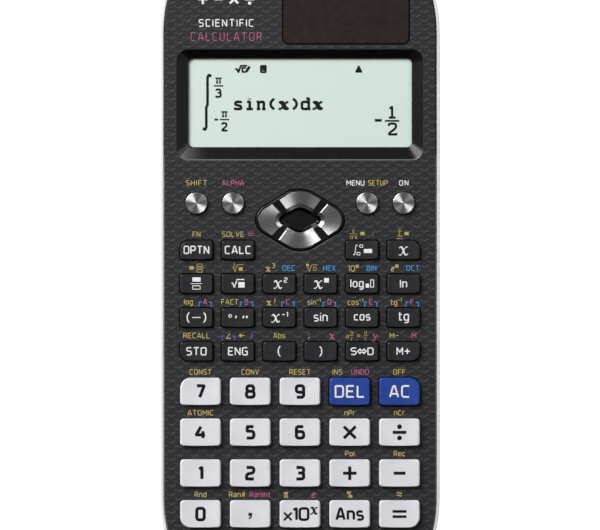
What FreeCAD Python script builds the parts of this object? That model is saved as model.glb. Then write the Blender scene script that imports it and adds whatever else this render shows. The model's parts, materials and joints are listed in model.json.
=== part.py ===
import FreeCAD, Part
import math
import os

# A pocket scientific calculator with a five-line dot display, a solar cell, a four-way cursor
# pad and 46 keys. Millimetres. +Z points out of the keyboard, +Y towards the display end and
# +X to the right of a reader. The origin is the middle of the flat underside.

V = FreeCAD.Vector
UP = V(0, 0, 1)

# How far a cutting tool reaches past the face it cuts
PAST = 1.0

# Points closer than this are the same, and an edge this level lies at one height
SAME_POINT = 1e-6
LEVEL = 1e-4

# Overall size
BODY_WIDTH = 77.0
BODY_LENGTH = 165.5
OVERALL_HEIGHT = 11.1

# Plan outline: straight sides, a soft shoulder, a round corner and a bowed end, all tangent
SHOULDER_START = 18.5
SHOULDER_RADIUS = 40.0
CORNER_RADIUS = 11.0
END_BOW_RADIUS = 315.0

# Heights of the layers
FACE_Z = 9.6
PLATE_THICKNESS = 1.5
PLATE_UNDER_Z = FACE_Z - PLATE_THICKNESS
RIM_TOP_Z = 9.25
FLOOR_THICKNESS = 1.6
BOARD_Z = 3.2
BOARD_THICKNESS = 1.0
BOARD_TOP_Z = BOARD_Z + BOARD_THICKNESS
SHEET_THICKNESS = 0.6
SHEET_TOP_Z = BOARD_TOP_Z + SHEET_THICKNESS

# Rear case
RIM_WIDTH = 0.85
REAR_WALL = 1.8
REAR_EDGE_RADIUS = 2.6
RIM_EDGE_RADIUS = 0.35
RAIL_DEPTH = 0.5
RAIL_HEIGHT = 1.2
RAIL_LENGTH = 118.0
RAIL_Z = 5.4
LABEL_WIDTH = 46.0
LABEL_LENGTH = 17.0
LABEL_DEPTH = 0.2
LABEL_Y = -48.0
LABEL_CORNER = 1.5

# Front case
FRONT_INSET = RIM_WIDTH + 0.05
FRONT_EDGE_RADIUS = 0.4
SKIRT_INSET = REAR_WALL + 0.15
SKIRT_WALL = 1.05
SKIRT_BOTTOM_Z = 6.9

# Display: a sloped recess, a clear window under the plate and the glass below it
WINDOW_WIDTH = 61.6
WINDOW_LENGTH = 24.5
WINDOW_CORNER = 1.5
WINDOW_Y = 44.75
RECESS_WIDTH = 68.0
RECESS_LENGTH = 30.6
RECESS_CORNER = 3.2
RECESS_Y = 44.1
RECESS_EDGE_RADIUS = 0.25
PANE_BORDER = 1.4
PANE_THICKNESS = 0.6
PANE_GAP = 0.05
GLASS_WIDTH = 66.4
GLASS_LENGTH = 31.0
GLASS_LEDGE = 2.6
GLASS_THICKNESS = 1.05
GLASS_TOP_Z = PLATE_UNDER_Z - PANE_THICKNESS - PANE_GAP
RIB_CLEARANCE = 0.4
RIB_WALL = 1.2
RIB_BOTTOM_Z = 4.6
RIB_CORNER = 1.5
RIB_INNER_CORNER = 0.3

# Solar cell
SOLAR_WIDTH = 34.7
SOLAR_LENGTH = 15.3
SOLAR_CORNER = 1.75
SOLAR_X = 12.65
SOLAR_Y = 68.6
SOLAR_GAP = 0.3
SOLAR_TOP_Z = FACE_Z - 0.2
SOLAR_THICKNESS = 0.95
LEAD_HOLE_RADIUS = 0.8
LEAD_SPACING = 26.0
SOLAR_EDGE = 0.15

# Keys
KEY_CLEARANCE = 0.22
KEY_DRAFT = 0.15
KEY_FLANGE = 0.5
FLANGE_TOP_Z = PLATE_UNDER_Z - 0.15
FLANGE_THICKNESS = 0.8
FLANGE_BOTTOM_Z = FLANGE_TOP_Z - FLANGE_THICKNESS
PLUNGER_BOTTOM_Z = FLANGE_BOTTOM_Z - 0.2
KEY_WALL = 1.0
KEY_ROOF = 1.1
LEAST_CORNER = 0.2

NUMBER_WIDTH = 11.4
NUMBER_LENGTH = 7.7
NUMBER_CORNER = 1.0
NUMBER_SOFT_CORNER = 3.0
NUMBER_TOP_Z = OVERALL_HEIGHT
NUMBER_PITCH_X = 13.69
NUMBER_PITCH_Y = 11.24
NUMBER_FIRST_Y = -34.8
NUMBER_EDGE_RADIUS = 0.45
NUMBER_PLUNGER_RADIUS = 1.8

FUNCTION_WIDTH = 9.2
FUNCTION_LENGTH = 5.4
FUNCTION_CORNER = 0.8
FUNCTION_SOFT_CORNER = 2.4
FUNCTION_TOP_Z = 10.75
FUNCTION_PITCH_X = 11.4
FUNCTION_PITCH_Y = 9.3
FUNCTION_FIRST_Y = 4.15
FUNCTION_EDGE_RADIUS = 0.35
FUNCTION_PLUNGER_RADIUS = 1.2
DISH_RADIUS = 60.0

ROUND_RADIUS = 3.0
ROUND_TOP_Z = 10.7
ROUND_EDGE_RADIUS = 0.25
ROUND_OUTER_X = 2.5 * FUNCTION_PITCH_X
ROUND_INNER_X = 18.45
ROUND_Y = 17.0

# Cursor pad: a rounded rhombus that rocks on a ball
PAD_Y = 12.4
PAD_HALF_WIDTH = 12.1
PAD_HALF_LENGTH = 8.4
PAD_SLOPE = 31.0
PAD_NOSE_RADIUS = 7.5
PAD_CLEARANCE = 0.32
PAD_FLANGE = 0.6
PAD_FLANGE_BOTTOM_Z = 6.2
PAD_FLANGE_THICKNESS = 0.8
PAD_TOP_Z = 10.9
PAD_DISH_RADIUS = 90.0
PAD_DISH_LOW_Z = 9.6
PAD_EDGE_RADIUS = 0.25
PAD_OPENING_RADIUS = 0.25
PLATE_BORDER = 0.55
PLATE_DRAFT = 0.2
PLATE_RISE = 0.45
PLATE_EDGE = 0.1
PLATE_FLOOR_Z = 9.0
SPOKE_WIDTH = 1.4
SPOKE_FLARE_Z = 9.7
SPOKE_FLARE = 0.6
SPOKE_ANGLE = 51.5
SPOKE_ANGLE_SPREAD = 4.0
SPOKE_OFFSET_X = 2.76
BOWL_HALF_WIDTH = 6.8
BOWL_HALF_LENGTH = 4.45
BOWL_SLOPE = 28.0
BOWL_NOSE_RADIUS = 4.5
BOWL_BOTTOM_INSET = 1.9
BOWL_BOTTOM_Z = 8.9
BOWL_TOP_Z = 10.15
BALL_RADIUS = 1.6
BALL_CLEARANCE = 0.06
BALL_Z = 6.6
PAD_DOME_X = 8.4
PAD_DOME_Y = 5.2

# Rubber domes of the keypad sheet
DOME_WALL = 0.45
NUMBER_DOME = (3.1, 1.9)
FUNCTION_DOME = (2.4, 1.4)
PAD_DOME = (1.9, 1.2)
SHEET_HALF_WIDTH = 34.6
SHEET_TOP_Y = 20.9
SHEET_BOTTOM_Y = -73.0
SHEET_CORNER = 2.0
SHEET_POST_GAP = 0.3
BALL_CUP_WALL = 0.5
BALL_CUP_HEIGHT = 0.5

# Screws: six join the cases, five hold the board to the front case, one holds the cell cover
CASE_SCREWS = [(sx * x, y) for x, y in ((31.5, 75.0), (33.0, 23.9), (30.3, -76.1)) for sx in (-1, 1)]
CASE_BOSS_RADIUS = 2.1
CASE_BOSS_BOTTOM_Z = 4.7
CASE_SHANK_RADIUS = 0.95
CASE_HEAD_RADIUS = 1.9
CASE_HEAD_HEIGHT = 1.3
CASE_HEAD_Z = 1.0
CASE_SHANK_TOP_Z = 7.4
REAR_BOSS_RADIUS = 2.9
BOARD_SCREWS = [(0.0, 24.6)] + [
    (sx * 1.5 * NUMBER_PITCH_X, NUMBER_FIRST_Y - row * NUMBER_PITCH_Y)
    for row in (0.5, 2.5)
    for sx in (-1, 1)
]
BOARD_POST_RADIUS = 1.1
BOARD_SHANK_RADIUS = 0.6
BOARD_HEAD_RADIUS = 1.2
BOARD_HEAD_HEIGHT = 0.7
BOARD_SHANK_TOP_Z = 7.2
SCREW_GAP = 0.05
CLEAR_HOLE_GAP = 0.2
HEAD_GAP = 0.25
TIP_GAP = 0.2
CROSS_WIDTH = 0.4
CROSS_REACH = 0.6
CROSS_DEPTH = 0.6
HEAD_ROUND = 0.35

# Button cell, its contacts and its cover
CELL_X = -17.5
CELL_Y = 69.0
CELL_RADIUS = 5.8
CELL_HEIGHT = 5.4
CELL_Z = 1.25
CELL_CAP_RADIUS = 4.6
CELL_CAP_HEIGHT = 0.4
WELL_RADIUS = 6.15
WELL_WALL = 0.9
WELL_TOP_Z = 6.0
COVER_WIDTH = 24.0
COVER_LENGTH = 15.0
COVER_CORNER = 2.0
COVER_X = -13.3
COVER_THICKNESS = 1.1
COVER_RECESS = 0.1
COVER_GAP = 0.15
COVER_SCREW_X = -4.6
COVER_TAB_WIDTH = 4.0
COVER_TAB_REACH = 1.0
COVER_TAB_THICKNESS = 0.6
COVER_TAB_ROOT = 1.5
COVER_EDGE = 0.25
COVER_LEDGE = 1.6
COVER_PAD_THICKNESS = 1.5
COVER_HEAD_GAP = 0.15
COVER_HEAD_HEIGHT = 0.7
COVER_BOSS_TOP_Z = 5.0
COVER_HOLE_TOP_Z = 4.4
COVER_GRIPS = 4
GRIP_PITCH = 2.0
GRIP_WIDTH = 0.8
GRIP_LENGTH = 7.0
GRIP_DEPTH = 0.3
GRIP_ROUND = 0.49
CELL_EDGE_RADIUS = 0.5
CONTACT_THICKNESS = 0.25
STRIP_HALF_WIDTH = 1.8
STRIP_TOP_Z = 6.4
STRIP_FOOT = 3.6
STRIP_SLOT_HALF_WIDTH = 2.2
LEAF_HALF_WIDTH = 1.6
LEAF_REACH = 2.5
LEAF_CLEARANCE = 1.2
LEAF_HEEL = 1.4

# Circuit board, the resin drop over its chip and the small parts round it
BOARD_INSET = 2.6
BOARD_TOP_TRIM_Y = 79.0
BOARD_WELL_GAP = 0.4
BOARD_BOSS_GAP = 0.35
DROP_Y = 40.0
DROP_HEIGHT = 1.1
DROP_HALF_WIDTH = 4.4
BURIED = 0.1
CHIP_LENGTH = 2.0
CHIP_WIDTH = 1.2
CHIP_HEIGHT = 0.9
CHIP_PLACES = ((14, 36), (14, 40), (14, 44), (-14, 38), (-14, 43), (20, 66))


def arc(cx, cy, radius, start, end, z):
    """Arc round (cx, cy) from angle start to angle end, in degrees."""
    points = []
    for angle in (start, (start + end) / 2, end):
        a = math.radians(angle)
        points.append(V(cx + radius * math.cos(a), cy + radius * math.sin(a), z))
    return Part.Arc(*points).toShape()


def joined(arcs):
    """Closed wire through arcs listed in order, with straight lines across the gaps."""
    edges = []
    for this, following in zip(arcs, arcs[1:] + arcs[:1]):
        start = this.Vertexes[-1].Point
        end = following.Vertexes[0].Point
        edges.append(this)
        if start.distanceToPoint(end) > SAME_POINT:
            edges.append(Part.LineSegment(start, end).toShape())
    return Part.Wire(edges)


def case_outline(inset, z):
    """Plan outline of the body, moved inwards by inset."""
    shoulder = (BODY_WIDTH / 2 - SHOULDER_RADIUS, BODY_LENGTH / 2 - SHOULDER_START)
    bow = (0.0, BODY_LENGTH / 2 - END_BOW_RADIUS)
    # The corner's centre is a known distance from the shoulder's centre and from the bow's
    near = SHOULDER_RADIUS - CORNER_RADIUS
    far = END_BOW_RADIUS - CORNER_RADIUS
    dx, dy = bow[0] - shoulder[0], bow[1] - shoulder[1]
    apart = math.hypot(dx, dy)
    along = (near ** 2 - far ** 2 + apart ** 2) / (2 * apart)
    across = math.sqrt(near ** 2 - along ** 2)
    corner = (
        shoulder[0] + (along * dx - across * dy) / apart,
        shoulder[1] + (along * dy + across * dx) / apart,
    )
    turn_1 = math.degrees(math.atan2(corner[1] - shoulder[1], corner[0] - shoulder[0]))
    turn_2 = math.degrees(math.atan2(corner[1] - bow[1], corner[0] - bow[0]))
    r_shoulder = SHOULDER_RADIUS - inset
    r_corner = CORNER_RADIUS - inset
    r_bow = END_BOW_RADIUS - inset
    upper = [
        arc(*shoulder, r_shoulder, 0, turn_1, z),
        arc(*corner, r_corner, turn_1, turn_2, z),
        arc(*bow, r_bow, turn_2, 180 - turn_2, z),
        arc(-corner[0], corner[1], r_corner, 180 - turn_2, 180 - turn_1, z),
        arc(-shoulder[0], shoulder[1], r_shoulder, 180 - turn_1, 180, z),
    ]
    lower = [
        arc(-shoulder[0], -shoulder[1], r_shoulder, 180, 180 + turn_1, z),
        arc(-corner[0], -corner[1], r_corner, 180 + turn_1, 180 + turn_2, z),
        arc(bow[0], -bow[1], r_bow, 180 + turn_2, 360 - turn_2, z),
        arc(corner[0], -corner[1], r_corner, 360 - turn_2, 360 - turn_1, z),
        arc(shoulder[0], -shoulder[1], r_shoulder, 360 - turn_1, 360, z),
    ]
    return joined(upper + lower)


def rounded_rectangle(cx, cy, width, length, corners, z):
    """Rectangle whose corner radii run top right, top left, bottom left, bottom right."""
    if not hasattr(corners, "__len__"):
        corners = (corners,) * 4
    signs = ((1, 1), (-1, 1), (-1, -1), (1, -1))
    arcs = []
    for number, ((sx, sy), radius) in enumerate(zip(signs, corners)):
        x = cx + sx * (width / 2 - radius)
        y = cy + sy * (length / 2 - radius)
        arcs.append(arc(x, y, radius, 90 * number, 90 * number + 90, z))
    return joined(arcs)


def rounded_rhombus(half_width, half_length, slope, nose, offset, z):
    """Rhombus round the pad's middle with nose radius at its top, its sides at slope degrees."""
    s, c, t = (f(math.radians(slope)) for f in (math.sin, math.cos, math.tan))
    # The radius at the left and right tips follows from the shared tangent line
    tip = (half_length - nose * (1 - c) - t * (half_width - nose * s)) / (c - t * (1 - s))
    tip_x, nose_y = half_width - tip, half_length - nose
    side = 90 - slope
    return joined([
        arc(tip_x, PAD_Y, tip + offset, -side, side, z),
        arc(0, PAD_Y + nose_y, nose + offset, side, 180 - side, z),
        arc(-tip_x, PAD_Y, tip + offset, 180 - side, 180 + side, z),
        arc(0, PAD_Y - nose_y, nose + offset, 180 + side, 360 - side, z),
    ])


def pad_outline(offset, z):
    return rounded_rhombus(
        PAD_HALF_WIDTH, PAD_HALF_LENGTH, PAD_SLOPE, PAD_NOSE_RADIUS, offset, z
    )


def bowl_outline(offset, z):
    return rounded_rhombus(
        BOWL_HALF_WIDTH, BOWL_HALF_LENGTH, BOWL_SLOPE, BOWL_NOSE_RADIUS, offset, z
    )


def prism(wire, height):
    return Part.Face(wire).extrude(UP * height)


def rod(x, y, radius, bottom, top):
    return Part.makeCylinder(radius, top - bottom, V(x, y, bottom))


def block(x0, x1, y0, y1, z0, z1):
    return Part.makeBox(x1 - x0, y1 - y0, z1 - z0, V(x0, y0, z0))


def fuse_all(shapes):
    return shapes[0].multiFuse(shapes[1:]).removeSplitter() if len(shapes) > 1 else shapes[0]


def edges_at(shape, z, keep=lambda edge: True):
    """Edges of shape that lie wholly at height z."""
    found = []
    for edge in shape.Edges:
        box = edge.BoundBox
        if abs(box.ZMin - z) < LEVEL and abs(box.ZMax - z) < LEVEL and keep(edge):
            found.append(edge)
    return found


# --------------------------------------------------------------------------- key layout

NUMBER_ROWS = [
    ["key_7", "key_8", "key_9", "key_delete", "key_all_clear"],
    ["key_4", "key_5", "key_6", "key_multiply", "key_divide"],
    ["key_1", "key_2", "key_3", "key_plus", "key_minus"],
    ["key_0", "key_comma", "key_exponent", "key_answer", "key_equals"],
]
FUNCTION_ROWS = [
    ["key_options", "key_calc", None, None, "key_integral", "key_variable"],
    ["key_fraction", "key_root", "key_square", "key_power", "key_log_base", "key_ln"],
    ["key_negative", "key_degrees", "key_reciprocal", "key_sin", "key_cos", "key_tan"],
    ["key_store", "key_eng", "key_bracket_open", "key_bracket_close", "key_convert", "key_memory"],
]
ROUND_KEYS = {
    "key_shift": -ROUND_OUTER_X,
    "key_alpha": -ROUND_INNER_X,
    "key_menu": ROUND_INNER_X,
    "key_on": ROUND_OUTER_X,
}


def block_corners(row, column, rows, columns, corner, soft):
    """Corner radii of one key: the outer corner of a corner key of the block is soft."""
    soft_corner = {
        (0, columns - 1): 0,
        (0, 0): 1,
        (rows - 1, 0): 2,
        (rows - 1, columns - 1): 3,
    }.get((row, column))
    return [soft if n == soft_corner else corner for n in range(4)]


def key_places():
    """Name, kind, middle and corner radii of every key."""
    places = []
    blocks = (
        ("number", NUMBER_ROWS, NUMBER_PITCH_X, NUMBER_PITCH_Y, NUMBER_FIRST_Y,
         NUMBER_CORNER, NUMBER_SOFT_CORNER),
        ("function", FUNCTION_ROWS, FUNCTION_PITCH_X, FUNCTION_PITCH_Y, FUNCTION_FIRST_Y,
         FUNCTION_CORNER, FUNCTION_SOFT_CORNER),
    )
    for kind, rows, pitch_x, pitch_y, first_y, corner, soft in blocks:
        for row, names in enumerate(rows):
            for column, name in enumerate(names):
                if name:
                    x = (column - (len(names) - 1) / 2) * pitch_x
                    y = first_y - row * pitch_y
                    corners = block_corners(row, column, len(rows), len(names), corner, soft)
                    places.append((name, kind, x, y, corners))
    for name, x in ROUND_KEYS.items():
        places.append((name, "round", x, ROUND_Y, None))
    return places


KEYS = key_places()
KEY_SIZES = {
    "number": (NUMBER_WIDTH, NUMBER_LENGTH, NUMBER_TOP_Z, NUMBER_EDGE_RADIUS, NUMBER_PLUNGER_RADIUS),
    "function": (
        FUNCTION_WIDTH, FUNCTION_LENGTH, FUNCTION_TOP_Z, FUNCTION_EDGE_RADIUS,
        FUNCTION_PLUNGER_RADIUS,
    ),
}


def key_outline(kind, x, y, corners, offset, z):
    """Plan outline of a key cap, grown by offset."""
    if kind == "round":
        return Part.Wire(Part.makeCircle(ROUND_RADIUS + offset, V(x, y, z)))
    width, length = KEY_SIZES[kind][:2]
    radii = [max(radius + offset, LEAST_CORNER) for radius in corners]
    return rounded_rectangle(x, y, width + 2 * offset, length + 2 * offset, radii, z)


def square_key(kind, x, y, corners):
    """Hollow cap with draft, a dished top, a retaining flange and a plunger."""
    width, _, top, edge_radius, plunger = KEY_SIZES[kind]
    cap = Part.makeLoft([
        key_outline(kind, x, y, corners, 0, FLANGE_TOP_Z),
        key_outline(kind, x, y, corners, -KEY_DRAFT, top),
    ], True, True)
    cap = cap.makeFillet(edge_radius, edges_at(cap, top))
    dish_depth = (width / 2 - KEY_DRAFT - edge_radius) ** 2 / (2 * DISH_RADIUS)
    dish = Part.makeCylinder(
        DISH_RADIUS, 2 * width, V(x, y - width, top - dish_depth + DISH_RADIUS), V(0, 1, 0)
    )
    cap = cap.cut(dish)
    flange = prism(
        key_outline(kind, x, y, corners, KEY_FLANGE, FLANGE_BOTTOM_Z), FLANGE_THICKNESS
    )
    hollow = prism(
        key_outline(kind, x, y, corners, -KEY_WALL, FLANGE_BOTTOM_Z),
        top - KEY_ROOF - FLANGE_BOTTOM_Z,
    )
    post = rod(x, y, plunger, PLUNGER_BOTTOM_Z, top - KEY_ROOF)
    return fuse_all([fuse_all([cap, flange]).cut(hollow), post])


def round_key(x, y):
    """Turned metal-look button with a flange."""
    cap = rod(x, y, ROUND_RADIUS, FLANGE_TOP_Z, ROUND_TOP_Z)
    cap = cap.makeFillet(ROUND_EDGE_RADIUS, edges_at(cap, ROUND_TOP_Z))
    flange = rod(x, y, ROUND_RADIUS + KEY_FLANGE, FLANGE_BOTTOM_Z, FLANGE_TOP_Z)
    post = rod(x, y, FUNCTION_PLUNGER_RADIUS, PLUNGER_BOTTOM_Z, FLANGE_BOTTOM_Z)
    return fuse_all([cap, flange, post])


def key_solid(kind, x, y, corners):
    return round_key(x, y) if kind == "round" else square_key(kind, x, y, corners)


# --------------------------------------------------------------------------- cursor pad

def dish_sphere(low_z):
    """Large sphere whose lowest point is low_z above the pad's middle."""
    return Part.makeSphere(PAD_DISH_RADIUS, V(0, PAD_Y, low_z + PAD_DISH_RADIUS))


def pad_bowl():
    """Tool for the sloped hollow in the pad's middle."""
    bottom = bowl_outline(-BOWL_BOTTOM_INSET, BOWL_BOTTOM_Z)
    return fuse_all([
        Part.makeLoft([bottom, bowl_outline(0, BOWL_TOP_Z)], True, True),
        prism(bowl_outline(0, BOWL_TOP_Z), PAD_TOP_Z + PAST - BOWL_TOP_Z),
    ])


def spokes():
    """Tools for the four gaps between the plates, flared towards the top."""
    top = PAD_TOP_Z + PAST
    flared = SPOKE_WIDTH / 2 + SPOKE_FLARE * (top - SPOKE_FLARE_Z)
    half_section = [
        (SPOKE_WIDTH / 2, PLATE_FLOOR_Z - PAST),
        (SPOKE_WIDTH / 2, SPOKE_FLARE_Z),
        (flared, top),
    ]
    section = half_section + [(-y, z) for y, z in reversed(half_section)]
    corners = [V(0, y, z) for y, z in section + section[:1]]
    bars = []
    for side in (-1, 1):
        for end in (-1, 1):
            bar = Part.Face(Part.makePolygon(corners)).extrude(V(2 * PAD_HALF_WIDTH, 0, 0))
            bar.rotate(V(0, 0, 0), UP, SPOKE_ANGLE * end if side > 0 else 180 - SPOKE_ANGLE * end)
            bar.translate(V(side * SPOKE_OFFSET_X, PAD_Y, 0))
            bars.append(bar)
    return bars


def is_spoke_edge(edge):
    """True for a top edge of a plate that runs beside a spoke."""
    ends = [vertex.Point for vertex in edge.Vertexes]
    if len(ends) != 2 or min(point.z for point in ends) < BOWL_TOP_Z - PLATE_RISE:
        return False
    run = ends[1] - ends[0]
    angle = math.degrees(math.atan2(abs(run.y), abs(run.x)))
    return run.Length > SPOKE_WIDTH and abs(angle - SPOKE_ANGLE) < SPOKE_ANGLE_SPREAD


def cursor_plates():
    """Four metallised sectors, dished, parted by the spokes and sloping into the bowl."""
    ring = Part.makeLoft([
        pad_outline(PLATE_DRAFT - PLATE_BORDER, PLATE_FLOOR_Z),
        pad_outline(-PLATE_DRAFT - PLATE_BORDER, PAD_TOP_Z),
    ], True, True)
    ring = ring.cut(dish_sphere(PAD_DISH_LOW_Z + PLATE_RISE)).cut(pad_bowl())
    for bar in spokes():
        ring = ring.cut(bar)
    # A narrow bevel along each spoke, where the plates' tops end
    along_spokes = [edge for edge in ring.Edges if is_spoke_edge(edge)]
    return ring.makeChamfer(PLATE_EDGE, along_spokes)


def cursor_rocker(plates):
    """Black rocker that carries the plates and has a socket for the ball underneath."""
    flange_top = PAD_FLANGE_BOTTOM_Z + PAD_FLANGE_THICKNESS
    cap = prism(pad_outline(0, PAD_FLANGE_BOTTOM_Z), PAD_TOP_Z - PAD_FLANGE_BOTTOM_Z)
    cap = cap.cut(dish_sphere(PAD_DISH_LOW_Z))
    rim = [edge for edge in cap.Edges if edge.BoundBox.ZMin > PAD_DISH_LOW_Z]
    cap = cap.makeFillet(PAD_EDGE_RADIUS, rim)
    flange = prism(pad_outline(PAD_FLANGE, PAD_FLANGE_BOTTOM_Z), flange_top - PAD_FLANGE_BOTTOM_Z)
    body = fuse_all([cap, flange]).cut(pad_bowl()).cut(plates)
    return body.cut(Part.makeSphere(BALL_RADIUS + BALL_CLEARANCE, V(0, PAD_Y, BALL_Z)))


def cursor_ball():
    return Part.makeSphere(BALL_RADIUS, V(0, PAD_Y, BALL_Z))


# --------------------------------------------------------------------------- cases

def case_ring(outer_inset, inner_inset, bottom, top):
    outer = prism(case_outline(outer_inset, bottom), top - bottom)
    return outer.cut(prism(case_outline(inner_inset, bottom - PAST), top - bottom + 2 * PAST))


def display_recess():
    """Tool for the sloped hole round the display, wide at the face and narrow below it."""
    narrow = rounded_rectangle(
        0, WINDOW_Y, WINDOW_WIDTH, WINDOW_LENGTH, WINDOW_CORNER, PLATE_UNDER_Z
    )
    wide = rounded_rectangle(0, RECESS_Y, RECESS_WIDTH, RECESS_LENGTH, RECESS_CORNER, FACE_Z)
    return Part.makeLoft([narrow, wide], True, True)


def on_recess_edge(edge):
    centre = edge.BoundBox.Center
    near_x = abs(centre.x) < RECESS_WIDTH / 2 + PAST
    return near_x and abs(centre.y - RECESS_Y) < RECESS_LENGTH / 2 + PAST


def on_pad_edge(edge):
    centre = edge.BoundBox.Center
    near_x = abs(centre.x) < PAD_HALF_WIDTH + PAST
    return near_x and abs(centre.y - PAD_Y) < PAD_HALF_LENGTH + PAST


def front_case():
    """Textured face plate with its openings, skirt, bosses and display ribs."""
    plate = prism(case_outline(FRONT_INSET, PLATE_UNDER_Z), PLATE_THICKNESS)
    plate = plate.makeFillet(FRONT_EDGE_RADIUS, edges_at(plate, FACE_Z))
    plate = plate.cut(display_recess())
    plate = plate.makeFillet(RECESS_EDGE_RADIUS, edges_at(plate, FACE_Z, on_recess_edge))
    through = PLATE_THICKNESS + 2 * PAST
    plate = plate.cut(prism(pad_outline(PAD_CLEARANCE, PLATE_UNDER_Z - PAST), through))
    plate = plate.makeFillet(PAD_OPENING_RADIUS, edges_at(plate, FACE_Z, on_pad_edge))
    openings = [
        prism(key_outline(kind, x, y, corners, KEY_CLEARANCE, PLATE_UNDER_Z - PAST), through)
        for _, kind, x, y, corners in KEYS
    ]
    pocket_floor = SOLAR_TOP_Z - SOLAR_THICKNESS
    openings.append(prism(
        rounded_rectangle(
            SOLAR_X, SOLAR_Y, SOLAR_WIDTH + 2 * SOLAR_GAP, SOLAR_LENGTH + 2 * SOLAR_GAP,
            SOLAR_CORNER + SOLAR_GAP, pocket_floor,
        ),
        FACE_Z - pocket_floor + PAST,
    ))
    for side in (-1, 1):
        x = SOLAR_X + side * LEAD_SPACING / 2
        openings.append(rod(x, SOLAR_Y, LEAD_HOLE_RADIUS, PLATE_UNDER_Z - PAST, FACE_Z))
    plate = plate.cut(Part.makeCompound(openings))
    rib_width = GLASS_WIDTH + 2 * RIB_CLEARANCE
    rib_length = GLASS_LENGTH + 2 * RIB_CLEARANCE
    rib_height = PLATE_UNDER_Z - RIB_BOTTOM_Z
    ribs = prism(
        rounded_rectangle(0, RECESS_Y, rib_width + 2 * RIB_WALL, rib_length + 2 * RIB_WALL,
                          RIB_CORNER, RIB_BOTTOM_Z),
        rib_height,
    ).cut(prism(
        rounded_rectangle(0, RECESS_Y, rib_width, rib_length, RIB_INNER_CORNER, RIB_BOTTOM_Z), rib_height
    ))
    added = [plate, case_ring(SKIRT_INSET, SKIRT_INSET + SKIRT_WALL, SKIRT_BOTTOM_Z, PLATE_UNDER_Z)]
    added.append(ribs)
    holes = []
    for x, y in CASE_SCREWS:
        added.append(rod(x, y, CASE_BOSS_RADIUS, CASE_BOSS_BOTTOM_Z, PLATE_UNDER_Z))
        holes.append(rod(x, y, CASE_SHANK_RADIUS + SCREW_GAP, CASE_BOSS_BOTTOM_Z - PAST,
                         CASE_SHANK_TOP_Z + TIP_GAP))
    for x, y in BOARD_SCREWS:
        added.append(rod(x, y, BOARD_POST_RADIUS, BOARD_TOP_Z, PLATE_UNDER_Z))
        holes.append(rod(x, y, BOARD_SHANK_RADIUS + SCREW_GAP, BOARD_TOP_Z - PAST,
                         BOARD_SHANK_TOP_Z + TIP_GAP))
    return fuse_all(added).cut(Part.makeCompound(holes))


def cover_outline(offset, z):
    return rounded_rectangle(
        COVER_X, CELL_Y, COVER_WIDTH + 2 * offset, COVER_LENGTH + 2 * offset,
        COVER_CORNER + offset, z,
    )


def cover_tabs(growth):
    """Two tongues on the cover's left edge, which hook behind the rear case's floor."""
    left = COVER_X - COVER_WIDTH / 2
    bottom = COVER_RECESS + COVER_THICKNESS
    tabs = []
    for side in (-1, 1):
        y = CELL_Y + side * COVER_LENGTH / 4
        half = COVER_TAB_WIDTH / 2 + growth
        tabs.append(block(left - COVER_TAB_REACH - growth, left + COVER_TAB_ROOT, y - half, y + half,
                          bottom - COVER_TAB_THICKNESS - growth, bottom + growth))
    return tabs


def rear_case():
    """White tray with its rim, rails, screw bosses, cell well and label panel."""
    tray = prism(case_outline(0, 0), RIM_TOP_Z)
    tray = tray.makeFillet(REAR_EDGE_RADIUS, edges_at(tray, 0))
    tray = tray.makeFillet(RIM_EDGE_RADIUS, edges_at(tray, RIM_TOP_Z))
    cavity = prism(case_outline(REAR_WALL, FLOOR_THICKNESS), RIM_TOP_Z)
    rebate = prism(case_outline(RIM_WIDTH, PLATE_UNDER_Z), PLATE_THICKNESS + PAST)
    tray = tray.cut(cavity).cut(rebate)
    added = [tray]
    holes = []
    for x, y in CASE_SCREWS:
        top = CASE_BOSS_BOTTOM_Z
        added.append(rod(x, y, REAR_BOSS_RADIUS, FLOOR_THICKNESS / 2, top))
        holes.append(rod(x, y, CASE_SHANK_RADIUS + CLEAR_HOLE_GAP, -PAST, top + PAST))
        holes.append(rod(x, y, CASE_HEAD_RADIUS + HEAD_GAP, -PAST, CASE_HEAD_Z + CASE_HEAD_HEIGHT))
    well_floor = COVER_RECESS + COVER_THICKNESS
    added.append(rod(CELL_X, CELL_Y, WELL_RADIUS + WELL_WALL, FLOOR_THICKNESS / 2, WELL_TOP_Z))
    added.append(rod(COVER_SCREW_X, CELL_Y, CASE_BOSS_RADIUS, FLOOR_THICKNESS / 2, COVER_BOSS_TOP_Z))
    # The floor is thicker round the cover, so that the cover's recess leaves a ledge
    added.append(prism(cover_outline(COVER_LEDGE, FLOOR_THICKNESS / 2), COVER_PAD_THICKNESS))
    holes.append(rod(CELL_X, CELL_Y, WELL_RADIUS, -PAST, WELL_TOP_Z + PAST))
    holes.append(rod(COVER_SCREW_X, CELL_Y, CASE_SHANK_RADIUS + SCREW_GAP, -PAST, COVER_HOLE_TOP_Z))
    holes.append(prism(cover_outline(COVER_GAP, -PAST), well_floor + PAST))
    holes += cover_tabs(COVER_GAP)
    for side in (-1, 1):
        x = side * BODY_WIDTH / 2
        holes.append(block(x - RAIL_DEPTH, x + RAIL_DEPTH, -RAIL_LENGTH / 2, RAIL_LENGTH / 2,
                           RAIL_Z, RAIL_Z + RAIL_HEIGHT))
    holes.append(prism(
        rounded_rectangle(0, LABEL_Y, LABEL_WIDTH, LABEL_LENGTH, LABEL_CORNER, -PAST), PAST + LABEL_DEPTH
    ))
    # Slot through the well's wall for the strip that touches the side of the cell
    well_side = CELL_X - WELL_RADIUS
    holes.append(block(well_side - WELL_WALL - PAST, well_side + PAST, CELL_Y - STRIP_SLOT_HALF_WIDTH,
                       CELL_Y + STRIP_SLOT_HALF_WIDTH, BOARD_TOP_Z, WELL_TOP_Z + PAST))
    return fuse_all(added).cut(Part.makeCompound(holes))


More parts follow.
